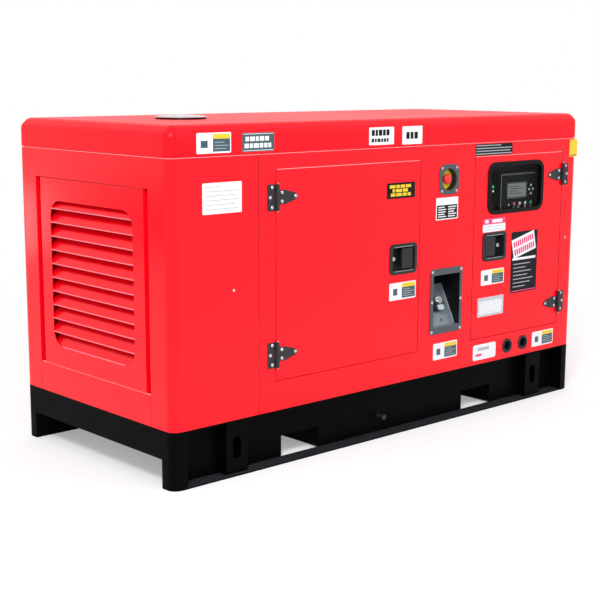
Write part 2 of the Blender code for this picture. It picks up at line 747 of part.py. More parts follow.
def louvre_slots(face, rows, half):
    """Cutters for the louvre slots, whose ends follow one large rounded rectangle."""
    bottom = rows[0]
    top = rows[-1] + LOUVRE_SLOT

    def edge(z):
        """Half the slot's length at a height."""
        reach = min(z - bottom, top - z)
        if reach >= LOUVRE_CORNER:
            return half
        rise = LOUVRE_CORNER - reach
        return half - LOUVRE_CORNER + math.sqrt(LOUVRE_CORNER ** 2 - rise ** 2)

    slots = []
    for low in rows:
        steps = 3 if low in (rows[0], rows[-1]) else 1
        heights = [low + LOUVRE_SLOT * i / steps for i in range(steps + 1)]
        outline = [(LOUVRE_MIDDLE + edge(z), z) for z in heights]
        outline += [(LOUVRE_MIDDLE - edge(z), z) for z in reversed(heights)]
        slots.append(prism(outline, "X", face - THROUGH, face + THROUGH))
    return slots


def louvre_blades(face, inward, rows, half):
    """A sloping blade behind each slot, rising inwards from the slot's lower edge."""
    blades = []
    start = face + inward * SHEET * 0.3
    end = face + inward * LOUVRE_DEPTH
    for low in rows:
        high = low + LOUVRE_SLOT + SHEET * 2
        outline = [(start, low - SHEET * 1.2), (start, low), (end, high), (end, high - SHEET)]
        blades.append(prism(outline, "Y", LOUVRE_MIDDLE - half, LOUVRE_MIDDLE + half))
    return blades


def louvre_tray(name, face, inward, sides):
    """A louvred tray: a hat section whose flanges seat on the recess's ledges."""
    def x(depth):
        return face + inward * depth

    near, far = sides
    low = DOOR_LOW + DOOR_GAP
    seat = RECESS_DEPTH - SHEET * 2 - TOUCH
    wall_near = near + TRAY_SIDE_GAP
    wall_far = far - TRAY_SIDE_GAP
    path = [(x(seat), near + DOOR_GAP), (x(seat), wall_near), (x(TRAY_SETBACK), wall_near),
            (x(TRAY_SETBACK), wall_far), (x(seat), wall_far), (x(seat), far - DOOR_GAP)]
    if inward > 0:
        path = path[::-1]
    tray = prism(folded(path, SHEET), "Z", low, RECESS_TOP - DOOR_GAP)
    rows = louvre_rows(DOOR_LOW, RECESS_TOP)
    half = (wall_far - wall_near) / 2 - LOUVRE_SIDE
    cut(tray, *louvre_slots(x(TRAY_SETBACK), rows, half))
    join(tray, *louvre_blades(x(TRAY_SETBACK), inward, rows, half + SHEET))
    finish(tray, name, RED)


def side_panel(name, face, inward, openings, holes):
    """A long side wall that wraps round the right-hand corner."""
    def y(depth):
        return face + inward * depth

    seam = LEFT + LEFT_BAY + PANEL_SEAM / 2
    path = [(seam, y(FLANGE)), (seam, y(0))]
    centre = (RIGHT - CORNER, y(CORNER))
    path += corner_arc(centre, CORNER, -90 * inward, 0)
    path += [(RIGHT, y(RIGHT_WRAP)), (RIGHT - FLANGE, y(RIGHT_WRAP))]
    if inward < 0:
        path = path[::-1]
    panel = wrap_panel(path)
    floor = DOOR_DEPTH + SHEET * 2
    frames = []
    cutters = []
    for left, right, low, high in openings:
        frames.append(block((left - SHEET, y(SHEET / 2), low - SHEET),
                            (right + SHEET, y(floor + SHEET), high + SHEET)))
        cutters.append(block((left, y(-SHEET), low), (right, y(floor), high)))
        cutters.append(block((left + LIP, y(-SHEET), low + LIP),
                             (right - LIP, y(floor + SHEET * 2), high - LIP)))
    if frames:
        join(panel, *frames)
    cut(panel, *cutters, *holes)
    finish(panel, name, RED)


def door_opening(left, right):
    """A door's opening in the side wall, the gap included."""
    return left - DOOR_GAP, right + DOOR_GAP, DOOR_LOW - DOOR_GAP, DOOR_HIGH + DOOR_GAP


def front_panel():
    """The control side wall with two door openings and the holes of what is fastened to it."""
    stop_x, stop_z = stop_centre()
    middle = filler_middle()
    low = filler_low()
    margin = FILLER_WALL + TOUCH
    holes = [rod("Y", (stop_x, stop_z), STOP_CUP_RADIUS + STOP_CUP_WALL + TOUCH * 2,
                 FRONT - THROUGH, FRONT + THROUGH, 24),
             block((middle - FILLER_WIDTH / 2 + FILLER_SIDE_RIM - margin, FRONT - THROUGH,
                    low + FILLER_END_RIM - margin),
                   (middle + FILLER_WIDTH / 2 - FILLER_SIDE_RIM + margin, FRONT + THROUGH,
                    low + FILLER_HEIGHT - FILLER_END_RIM + margin))]
    for outlet in OUTLETS_FROM_RIGHT:
        holes.append(rod("Y", (RIGHT - outlet, BASE_TOP + OUTLET_RISE), OUTLET_NECK + TOUCH,
                         FRONT - THROUGH, FRONT + THROUGH, 16))
    openings = [door_opening(ENGINE_DOOR_LEFT, ENGINE_DOOR_RIGHT),
                door_opening(CONTROL_DOOR_LEFT, CONTROL_DOOR_RIGHT)]
    side_panel("front_panel", FRONT, 1, openings, holes)


def access_sides():
    """The left and right edges of the opening behind the back access panel."""
    return LEFT + LEFT_BAY + ACCESS_MARGIN, RIGHT - RIGHT_WRAP - ACCESS_MARGIN


def back_panel():
    """The plain side wall with one large service opening."""
    left, right = access_sides()
    opening = block((left, BACK - THROUGH, DOOR_LOW), (right, BACK + THROUGH, DOOR_HIGH))
    side_panel("back_panel", BACK, -1, [], [opening])


def back_access_panel():
    """A raised pan bolted over the back service opening."""
    left, right = access_sides()
    middle = ((left + right) / 2, (DOOR_LOW + DOOR_HIGH) / 2)
    width = right - left
    height = DOOR_HIGH - DOOR_LOW

    def ring(grow, depth):
        outline = rounded(middle, width + 2 * grow, height + 2 * grow, ACCESS_CORNER, 3)
        return [on_plane(point, "Y", BACK + depth) for point in outline]

    raised = -ACCESS_FLANGE / 2
    top = PANEL_RAISE
    rings = [ring(raised - PANEL_RAISE, top - SHEET), ring(raised - SHEET, TOUCH),
             ring(ACCESS_FLANGE, TOUCH), ring(ACCESS_FLANGE, TOUCH + SHEET),
             ring(raised, TOUCH + SHEET), ring(raised - PANEL_RAISE + SHEET, top)]
    finish(loft("pan", rings), "back_access_panel", RED)


def right_end_panel():
    """The flat right end with a recess for the inlet louvres."""
    near, far = right_recess()
    low = BASE_TOP + TOUCH
    edge_near = FRONT + RIGHT_WRAP + PANEL_SEAM
    edge_far = BACK - RIGHT_WRAP - PANEL_SEAM
    top = RECESS_TOP
    panel = block((RIGHT - SHEET, edge_near, low), (RIGHT, edge_far, BODY_TOP))
    ledge = block((RIGHT - FLANGE, edge_near, BODY_TOP - SHEET), (RIGHT - SHEET / 2, edge_far, BODY_TOP))
    walls = block((RIGHT - RECESS_DEPTH, near - SHEET, DOOR_LOW - SHEET),
                  (RIGHT - SHEET / 2, far + SHEET, top + SHEET))
    join(panel, ledge, walls)
    cut(panel,
        block((RIGHT - RECESS_DEPTH + SHEET, near, DOOR_LOW), (RIGHT + SHEET, far, top)),
        block((RIGHT - RECESS_DEPTH * 2, near + LIP, DOOR_LOW + LIP), (RIGHT + SHEET, far - LIP, top - LIP)))
    finish(panel, "right_end_panel", RED)


def right_recess():
    """The edges of the right end's recess, inside the side panels' wraps."""
    inset = RIGHT_WRAP + FLANGE
    return FRONT + inset, BACK - inset


def roof_ring(inset, height, radius=None):
    """One level of the roof: the plan rectangle, inset all round."""
    outline = rounded(((LEFT + RIGHT) / 2, (FRONT + BACK) / 2), LENGTH - 2 * inset, WIDTH - 2 * inset,
                      radius or max(CORNER - inset, SHEET))
    return [on_plane(point, "Z", height) for point in outline]


def roof_panel():
    """A shallow cap with a bevelled rim and a foot that bears on the walls' returns."""
    low = SEAM_HEIGHT + ROOF_SEAM / 2
    foot = BODY_TOP + TOUCH
    bevel = ROOF_TOP - ROOF_BEVEL
    in_foot = SHEET * 4
    rings = [roof_ring(ROOF_BEVEL + SHEET / 2, ROOF_TOP - SHEET, ROOF_BEVEL_CORNER),
             roof_ring(SHEET, bevel - SHEET / 2), roof_ring(SHEET, low + SHEET),
             roof_ring(in_foot + SHEET, low + SHEET), roof_ring(in_foot + SHEET, foot),
             roof_ring(in_foot, foot), roof_ring(in_foot, low), roof_ring(0, low), roof_ring(0, bevel),
             roof_ring(ROOF_BEVEL, ROOF_TOP, ROOF_BEVEL_CORNER)]
    roof = loft("roof", rings)
    lid_x, lid_y = lid_centre()
    cut(roof, rod("Z", (lid_x, lid_y), ROOF_HOLE_RADIUS, ROOF_TOP - THROUGH, ROOF_TOP + THROUGH, 20),
        rod("Z", (lid_x, lid_y + LID_PIVOT_OFFSET), LID_PIVOT_RADIUS + RUNNING, ROOF_TOP - THROUGH,
            ROOF_TOP + THROUGH, 10))
    finish(roof, "roof_panel", RED)


def lid_centre():
    """The filler lid's centre, over the radiator's neck."""
    return LEFT + LID_FROM_LEFT, (FRONT + BACK) / 2


def roof_lid():
    """A low domed lid that swings aside on a pivot near its rim."""
    x, y = lid_centre()
    low = ROOF_TOP + TOUCH
    rim = low + LID_RIM
    profile = [(low, LID_RADIUS - 0.003), (low + 0.001, LID_RADIUS), (rim, LID_RADIUS),
               (rim + 0.002, LID_RADIUS - 0.005), (rim + LID_DOME * 0.75, LID_RADIUS * 0.5),
               (rim + LID_DOME, LID_RADIUS * 0.12)]
    lid = turned(profile, "Z", (x, y), 28)
    pivot = (x, y + LID_PIVOT_OFFSET)
    join(lid, rod("Z", pivot, LID_PIVOT_RADIUS, ROOF_TOP - LID_PIVOT_REACH, low + LID_RIM / 2, 10))
    finish(lid, "roof_lid", ALUMINIUM, origin=(*pivot, low))


# Doors, hinges and latches

def door(name, left, right, pin_x, cutters):
    """A door pan: skin with returns on all four edges, open on its inner side."""
    solid = block((left, FRONT, DOOR_LOW), (right, FRONT + DOOR_DEPTH, DOOR_HIGH))
    hollow = block((left + SHEET, FRONT + SHEET, DOOR_LOW + SHEET),
                   (right - SHEET, FRONT + DOOR_DEPTH * 2, DOOR_HIGH - SHEET))
    cut(solid, hollow, *cutters)
    pivot = (pin_x, FRONT - HINGE_PIN_OFFSET, (DOOR_LOW + DOOR_HIGH) / 2)
    return finish(solid, name, RED, origin=pivot)


def hinge_pin_x(door_name):
    """Where a door's hinge pins stand along the length, over the seam."""
    if door_name == "engine_door":
        return ENGINE_DOOR_LEFT
    return CONTROL_DOOR_RIGHT


def hinge(prefix, pin_x, z, way, parent):
    """A three-knuckle strap hinge: way is +1 where the strap points to +X."""
    pin_y = FRONT - HINGE_PIN_OFFSET
    back = FRONT - TOUCH
    front = back - LEAF_THICKNESS
    half = HINGE_HEIGHT / 2
    middle = half / 3
    clear = KNUCKLE_RADIUS + KNUCKLE_CLEAR

    def across(offset):
        return pin_x + way * offset

    def plate(start, end, low, high):
        xs = sorted((across(start), across(end)))
        return block((xs[0], front, z + low), (xs[1], back, z + high))

    leaf = plate(-LEAF_WIDTH, -clear, -half - LEAF_OVERHANG, half + LEAF_OVERHANG)
    parts = []
    for low, high in ((-half, -middle - TOUCH), (middle + TOUCH, half)):
        parts.append(plate(-clear - SHEET, 0, low, high))
        parts.append(rod("Z", (pin_x, pin_y), KNUCKLE_RADIUS, z + low, z + high, 12))
    reach = half + PIN_OVERHANG
    parts.append(rod("Z", (pin_x, pin_y), PIN_RADIUS, z - reach, z + reach, 12))
    join(leaf, *parts)
    finish(leaf, prefix + "_leaf", HARDWARE)

    tip = STRAP_LENGTH - STRAP_TIP / 2
    outline = [(clear, -STRAP_ROOT / 2), (STRAP_SHOULDER, -STRAP_ROOT / 2)]
    outline += corner_arc((tip, 0), STRAP_TIP / 2, -78, 78, 4)
    outline += [(STRAP_SHOULDER, STRAP_ROOT / 2), (clear, STRAP_ROOT / 2)]
    strap = prism([(across(u), z + v) for u, v in outline], "Y", front, back)
    join(strap, plate(0, clear + SHEET, -middle, middle),
         rod("Z", (pin_x, pin_y), KNUCKLE_RADIUS, z - middle, z + middle, 12))
    cut(strap, rod("Z", (pin_x, pin_y), PIN_RADIUS + RUNNING, z - half, z + half, 12))
    finish(strap, prefix + "_strap", HARDWARE, origin=(pin_x, pin_y, z), parent=parent)


def latch_outline(centre_x, grow, radius):
    """The latch cup's rounded rectangle, grown by a margin."""
    opening_width = LATCH_WIDTH - 2 * LATCH_RIM
    opening_height = LATCH_HEIGHT - 2 * LATCH_RIM
    return rounded((centre_x, LATCH_CENTRE), opening_width + 2 * grow, opening_height + 2 * grow,
                   radius, 3)


def latch_cup_cutter(centre_x):
    """The hole that a latch cup needs in its door."""
    outline = latch_outline(centre_x, LATCH_WALL + TOUCH, LATCH_CORNER + LATCH_WALL)
    return prism(outline, "Y", FRONT - THROUGH, FRONT + THROUGH)


def latch(prefix, centre_x, way, edge_x, parent):
    """A paddle latch: way is +1 where the paddle's pivot is on the +X side of the cup."""
    def ring(grow, depth, radius):
        return [on_plane(point, "Y", FRONT + depth) for point in latch_outline(centre_x, grow, radius)]

    back = LATCH_CUP_DEPTH + LATCH_WALL
    outer = LATCH_CORNER + LATCH_WALL
    cup = loft("cup", [ring(0, LATCH_CUP_DEPTH, LATCH_CORNER), ring(0, -LATCH_STAND, LATCH_CORNER),
                       ring(LATCH_RIM, -LATCH_STAND, RIM_CORNER), ring(LATCH_RIM, -TOUCH, RIM_CORNER),
                       ring(LATCH_WALL, -TOUCH, outer), ring(LATCH_WALL, back, outer)])
    half_wide = LATCH_WIDTH / 2 - LATCH_RIM
    half_high = LATCH_HEIGHT / 2 - LATCH_RIM
    pivot_x = centre_x + way * (half_wide - LATCH_CORNER - PIN_RADIUS)
    pivot_y = FRONT + PADDLE_PIVOT_DEPTH
    lock_x = centre_x - way * (half_wide - LOCK_INSET)
    hole_reach = LATCH_HEIGHT / 2 + THROUGH
    cut(cup, rod("Z", (pivot_x, pivot_y), PIN_RADIUS + RUNNING, LATCH_CENTRE - hole_reach,
                 LATCH_CENTRE + hole_reach, 8),
        rod("Y", (lock_x, LATCH_CENTRE), LOCK_RADIUS + RUNNING, FRONT + LOCK_FACE_DEPTH,
            FRONT + back + THROUGH, 12))
    finish(cup, prefix + "_latch_cup", HARDWARE, parent=parent)

    latch_paddle(prefix, (pivot_x, pivot_y), way, half_high, parent)
    latch_lock(prefix, lock_x, FRONT + LOCK_FACE_DEPTH, FRONT + back + LOCK_FACE_DEPTH, parent)
    bolt_y = FRONT + back + BOLT_CLEAR
    latch_bolt(prefix, (centre_x + way * BOLT_FROM_EDGE, edge_x - way * BOLT_FROM_EDGE), bolt_y, way, parent)


def latch_paddle(prefix, pivot, way, half_high, parent):
    """The paddle on its pin, with a grip turned in along its free edge."""
    pivot_x, pivot_y = pivot
    skin = PADDLE_THICKNESS / 6
    grip = pivot_x - way * (PADDLE_WIDTH - PADDLE_END_GAP)
    end = pivot_x + way * PADDLE_END_GAP
    outer_y = pivot_y - PADDLE_THICKNESS
    inner_y = pivot_y - skin
    heel_y = pivot_y + PIN_RADIUS
    grip_y = pivot_y + GRIP_DEPTH
    outline = [(grip, outer_y), (end, outer_y), (end, heel_y), (pivot_x - way * PIN_RADIUS * 2, heel_y),
               (pivot_x - way * PIN_RADIUS * 4, inner_y), (grip + way * skin * 4, inner_y),
               (grip + way * skin * 3, grip_y), (grip, grip_y)]
    half = PADDLE_HEIGHT / 2
    paddle = prism(outline, "Z", LATCH_CENTRE - half, LATCH_CENTRE + half)
    reach = half_high + LATCH_WALL - TOUCH
    join(paddle, rod("Z", pivot, PIN_RADIUS, LATCH_CENTRE - reach, LATCH_CENTRE + reach, 8))
    finish(paddle, prefix + "_latch_paddle", HARDWARE, origin=(*pivot, LATCH_CENTRE), parent=parent)


def latch_lock(prefix, x, start, end, parent):
    """The lock cylinder, with an upright keyway in its face."""
    lock = turned([(start, LOCK_RADIUS - 0.001), (start + 0.001, LOCK_RADIUS), (end, LOCK_RADIUS)], "Y",
                  (x, LATCH_CENTRE), 12)
    width, height, depth = KEYWAY
    cut(lock, block((x - width / 2, start - depth, LATCH_CENTRE - height / 2),
                    (x + width / 2, start + depth, LATCH_CENTRE + height / 2)))
    finish(lock, prefix + "_latch_lock", ZINC, origin=(x, start, LATCH_CENTRE), parent=parent)


def latch_bolt(prefix, ends, y, way, parent):
    """The bolt behind the cup, slanted at its tip."""
    tail, tip = ends
    slant = BOLT_THICKNESS * 0.8
    back = y + BOLT_THICKNESS
    outline = [(tail, y), (tip, y), (tip, back - slant), (tip - way * slant, back), (tail, back)]
    half = BOLT_HEIGHT / 2
    bolt = prism(outline, "Z", LATCH_CENTRE - half, LATCH_CENTRE + half)
    finish(bolt, prefix + "_latch_bolt", ZINC, origin=(tail, y, LATCH_CENTRE), parent=parent)


def window_middle():
    """The window's centre on the control door."""
    x = CONTROL_DOOR_RIGHT - WINDOW_FROM_HINGE_EDGE - WINDOW_WIDTH / 2
    return x, WINDOW_TOP - WINDOW_HEIGHT / 2


def window_outline(inset):
    """The window's rounded rectangle, inset from the gasket's outer edge."""
    return rounded(window_middle(), WINDOW_WIDTH - 2 * inset, WINDOW_HEIGHT - 2 * inset,
                   WINDOW_CORNER - inset)


def window(parent):
    """A rubber gasket gripping the door skin, and the pane that it holds."""
    def ring(inset, depth):
        return [on_plane(point, "Y", FRONT + depth) for point in window_outline(inset)]

    neck = GASKET_NECK
    seat = GASKET_RIM * 0.7
    step = SHEET
    back = step + PANE_THICKNESS + SHEET
    gasket = loft("gasket", [ring(GASKET_ROUND, -GASKET_STAND), ring(0, -GASKET_STAND / 2), ring(0, -TOUCH),
                             ring(neck, -TOUCH), ring(neck, back), ring(seat, back), ring(seat, step),
                             ring(GASKET_RIM, step), ring(GASKET_RIM, -GASKET_STAND)], closed=True)
    finish(gasket, "window_gasket", RUBBER, parent=parent)
    start = FRONT + step + TOUCH
    pane = prism(window_outline(seat + TOUCH), "Y", start, start + PANE_THICKNESS)
    finish(pane, "window_pane", SMOKED, parent=parent)


def doors():
    """Both doors with everything that swings with them."""
    engine_latch = ENGINE_DOOR_RIGHT - ENGINE_LATCH_FROM_EDGE
    control_latch = CONTROL_DOOR_LEFT + CONTROL_LATCH_FROM_EDGE
    window_hole = prism(window_outline(GASKET_NECK - TOUCH), "Y", FRONT - THROUGH, FRONT + THROUGH)
    plans = (("engine_door", ENGINE_DOOR_LEFT, ENGINE_DOOR_RIGHT, 1, engine_latch, []),
             ("control_door", CONTROL_DOOR_LEFT, CONTROL_DOOR_RIGHT, -1, control_latch, [window_hole]))
    for name, left, right, way, latch_x, extra in plans:
        pin_x = hinge_pin_x(name)
        cutters = [latch_cup_cutter(latch_x)] + extra
        panel = door(name, left, right, pin_x, cutters)
        heights = {"upper": DOOR_HIGH - HINGE_FROM_EDGE, "lower": DOOR_LOW + HINGE_FROM_EDGE}
        for level, z in heights.items():
            hinge(f"{name}_{level}_hinge", pin_x, z, way, panel)
        edge = right if way > 0 else left
        latch(name, latch_x, way, edge, panel)
        if name == "control_door":
            window(panel)


# Controls

def controller_middle():
    """The controller's centre, seen through the window."""
    x = CONTROL_DOOR_RIGHT - CONTROLLER_FROM_HINGE_EDGE - CONTROLLER_WIDTH / 2
    return x, DOOR_HIGH - CONTROLLER_TOP_DROP - CONTROLLER_HEIGHT / 2


def control_box():
    """A folded steel box behind the control door, open underneath for cables."""
    front = FRONT + CONTROL_BOX_SETBACK
    left = CONTROL_DOOR_LEFT + CONTROL_BOX_MARGIN
    right = CONTROL_DOOR_RIGHT - CONTROL_BOX_MARGIN
    back = front + CONTROL_BOX_DEPTH
    foot = DOOR_HIGH - CONTROL_BOX_HEIGHT
    box = block((left, front, foot), (right, back, DOOR_HIGH))
    cut(box, block((left + SHEET, front + SHEET, foot - SHEET),
                   (right - SHEET, back - SHEET, DOOR_HIGH - SHEET)))
    finish(box, "control_box", BLACK_STEEL)


def controller():
    """The controller on the box's front, with a blind pocket for each key."""
    x, z = controller_middle()
    back = FRONT + CONTROL_BOX_SETBACK - TOUCH
    front = back - CONTROLLER_STAND

    def ring(inset, y):
        outline = rounded((x, z), CONTROLLER_WIDTH - 2 * inset, CONTROLLER_HEIGHT - 2 * inset,
                          CONTROLLER_CORNER - inset, 2)
        return [on_plane(point, "Y", y) for point in outline]

    body = loft("controller", [ring(0, back), ring(0, front + CONTROLLER_BEVEL),
                              ring(CONTROLLER_BEVEL, front)])
    pocket_floor = front + KEY_LENGTH - KEY_STAND + KEY_STROKE + TOUCH
    cut(body, *[rod("Y", place, KEY_RADIUS + RUNNING, front - THROUGH, pocket_floor, 12)
                for place in key_places()])
    finish(body, "controller", CONTROLLER_BLACK)
    for name, place in zip(KEY_NAMES, key_places()):
        start = front - KEY_STAND
        profile = [(start, KEY_RADIUS - 0.0008), (start + 0.0008, KEY_RADIUS),
                   (start + KEY_LENGTH, KEY_RADIUS)]
        key = turned(profile, "Y", place, 12)
        finish(key, name, PALE_KEY, origin=(place[0], start, place[1]))


def key_places():
    """The centres of the keys, in a row along the controller's lower edge."""
    x, z = controller_middle()
    last = x + CONTROLLER_WIDTH / 2 - KEYS_FROM_SIDE
    row = z - CONTROLLER_HEIGHT / 2 + KEYS_FROM_FOOT
    return [(last - KEY_PITCH * (len(KEY_NAMES) - 1 - i), row) for i in range(len(KEY_NAMES))]


def stop_centre():
    """The emergency stop's axis on the front wall."""
    return ENGINE_DOOR_RIGHT + STOP_FROM_DOOR, SEAM_HEIGHT - STOP_BELOW_SEAM


def emergency_stop():
    """A recessed guard cup, the sliding stem and the mushroom head that turns on it."""
    x, z = stop_centre()
    plate_back = FRONT - TOUCH
    plate_front = plate_back - STOP_PLATE
    floor = FRONT + STOP_CUP_DEPTH
    outer = STOP_CUP_RADIUS + STOP_CUP_WALL
    guard = prism(rounded((x, z), STOP_PLATE_WIDTH, STOP_PLATE_HEIGHT, STOP_PLATE_CORNER), "Y",
                  plate_front, plate_back)
    cup = rod("Y", (x, z), outer, plate_front + STOP_PLATE / 2, floor + STOP_CUP_WALL, 24)
    join(guard, cup)
    cut(guard, rod("Y", (x, z), STOP_CUP_RADIUS, FRONT - THROUGH, floor, 24),
        rod("Y", (x, z), STOP_STEM_RADIUS + RUNNING, floor - THROUGH, floor + THROUGH, 12))
    finish(guard, "stop_guard", GREY_PLASTIC)

    shoulder = FRONT + STOP_HEAD_DEPTH
    tip = shoulder - STOP_NOSE_LENGTH
    stem = turned([(tip, STOP_NOSE_RADIUS), (shoulder, STOP_NOSE_RADIUS), (shoulder, STOP_STEM_RADIUS),
                   (floor + STOP_CUP_WALL + STOP_STEM_TAIL, STOP_STEM_RADIUS)], "Y", (x, z), 12)
    finish(stem, "stop_stem", HARDWARE, origin=(x, shoulder, z))

    back = shoulder - TOUCH
    top = back - STOP_HEAD_LENGTH
    head = turned([(top, STOP_HEAD_RADIUS * 0.70), (top + 0.002, STOP_HEAD_RADIUS * 0.90),
                   (top + 0.005, STOP_HEAD_RADIUS), (back - 0.003, STOP_HEAD_RADIUS),
                   (back, STOP_HEAD_RADIUS * 0.86)], "Y", (x, z), 20)
    cut(head, rod("Y", (x, z), STOP_NOSE_RADIUS + RUNNING, tip - TOUCH, back + THROUGH, 12))
    finish(head, "stop_head", STOP_RED, origin=(x, back, z))


def filler_pocket():
    """A flanged pocket with a sloping floor that carries the fuel neck."""
    middle = filler_middle()
    low = filler_low()
    half = FILLER_WIDTH / 2 - FILLER_SIDE_RIM
    sill = low + FILLER_END_RIM
    head = low + FILLER_HEIGHT - FILLER_END_RIM
    deep = FRONT + FILLER_DEPTH
    shallow = FRONT + FILLER_SILL
    slope_top = sill + FILLER_SLOPE_RISE
    inner = [(FRONT - THROUGH, sill), (shallow, sill), (deep, slope_top), (deep, head),
             (FRONT - THROUGH, head)]
    wall = FILLER_WALL
    start = FRONT - TOUCH - FILLER_FLANGE / 2
    outer = [(start, sill - wall), (shallow + wall / 2, sill - wall), (deep + wall, slope_top - wall / 2),
             (deep + wall, head + wall), (start, head + wall)]
    pocket = prism(rounded((middle, low + FILLER_HEIGHT / 2), FILLER_WIDTH, FILLER_HEIGHT, FILLER_CORNER, 2),
                   "Y", FRONT - TOUCH - FILLER_FLANGE, FRONT - TOUCH)
    join(pocket, prism(outer, "X", middle - half - wall, middle + half + wall))
    cut(pocket, prism(inner, "X", middle - half, middle + half))
    seat, outward = slope_frame()
    neck = along(rod("Z", (0, 0), NECK_RADIUS, -NECK_TAIL, NECK_STAND, 14), seat, outward)
    join(pocket, neck)
    bore = rod("Z", (0, 0), NECK_RADIUS - FILLER_WALL, -NECK_TAIL * 2, NECK_STAND + THROUGH, 10)
    cut(pocket, along(bore, seat, outward))
    finish(pocket, "filler_pocket", GREY_PLASTIC)


def along(thing, place, direction):
    """Turn a piece made along +Z to a direction and set it at a place."""
    turn = direction.to_track_quat("Z", "Y").to_matrix().to_4x4()
    thing.data.transform(Matrix.Translation(place) @ turn)
    return thing


def fuel_cap():
    """A cap that closes over the fuel neck and turns about the neck's axis."""
    seat, outward = slope_frame()
    gap = TOUCH * 4
    cap = turned([(gap, CAP_RADIUS - 0.001), (gap + 0.001, CAP_RADIUS), (CAP_HEIGHT - 0.004, CAP_RADIUS),
                  (CAP_HEIGHT, CAP_RADIUS - 0.004)], "Z", (0, 0), 18)
    cut(cap, rod("Z", (0, 0), NECK_RADIUS + 0.001, -THROUGH, NECK_STAND + 0.001, 14))
    length, width, rise = CAP_EAR
    join(cap, block((-length / 2, -width / 2, CAP_HEIGHT / 2 + NECK_STAND / 2),
                    (length / 2, width / 2, CAP_HEIGHT + rise)))
    along(cap, seat, outward)
    finish(cap, "fuel_cap", HARDWARE, origin=tuple(seat))


def outlets():
    """A rubber grommet in each cable outlet."""
    for name, from_right in zip(("outlet_grommet_left", "outlet_grommet_right"), OUTLETS_FROM_RIGHT):
        profile = [(FRONT - OUTLET_STAND, OUTLET_BORE), (FRONT - OUTLET_STAND, OUTLET_RADIUS - 0.002),
                   (FRONT - OUTLET_STAND + 0.002, OUTLET_RADIUS), (FRONT - TOUCH, OUTLET_RADIUS),
                   (FRONT - TOUCH, OUTLET_NECK), (FRONT + OUTLET_DEPTH, OUTLET_NECK),
                   (FRONT + OUTLET_DEPTH, OUTLET_BORE)]
        grommet = turned(profile, "Y", (RIGHT - from_right, BASE_TOP + OUTLET_RISE), 16, closed=True)
        finish(grommet, name, RUBBER)


# Inside the canopy

def engine_bearer():
    """Two long bearers on cross feet that stand on the fork tunnels."""
    foot_low = FORK_TOP + TUNNEL_WALL + TOUCH
    bearer_low = BEARER_TOP - BEARER_HEIGHT
    reach = BEARER_SPREAD + BEARER_WIDTH / 2 + BEARER_FOOT_MARGIN
    feet = []
    for tunnel_left in fork_lefts():
        left = tunnel_left + BEARER_FOOT_MARGIN
        right = tunnel_left + FORK_WIDTH - BEARER_FOOT_MARGIN
        foot = block((left, TRAIN_Y - reach, foot_low), (right, TRAIN_Y + reach, bearer_low + PLATE))
        feet.append(cut(foot, block((left + PLATE, TRAIN_Y - reach * 2, foot_low + PLATE),
                                    (right - PLATE, TRAIN_Y + reach * 2, bearer_low))))
    start = fork_lefts()[0]
    end = max(fork_lefts()[1] + FORK_WIDTH, engine_ends()[1] + GENERATOR_LENGTH)
    bearers = []
    for side in (-1, 1):
        y = TRAIN_Y + side * BEARER_SPREAD
        bearers.append(block((start, y - BEARER_WIDTH / 2, bearer_low),
                             (end, y + BEARER_WIDTH / 2, BEARER_TOP)))
    finish(join(feet[0], feet[1], *bearers), "engine_bearer", BLACK_STEEL)


def engine_ends():
    """The engine block's front and rear faces."""
    front = LEFT + ENGINE_FROM_LEFT
    return front, front + ENGINE_LENGTH


def bearer_feet(start, end, inner, outer, high):
    """A pair of mounting feet that stand on the bearers, either side of the shaft."""
    feet = []
    for side in (-1, 1):
        y_near, y_far = sorted((TRAIN_Y + side * inner, TRAIN_Y + side * outer))
        feet.append(block((start, y_near, BEARER_TOP + TOUCH), (end, y_far, high)))
    return feet


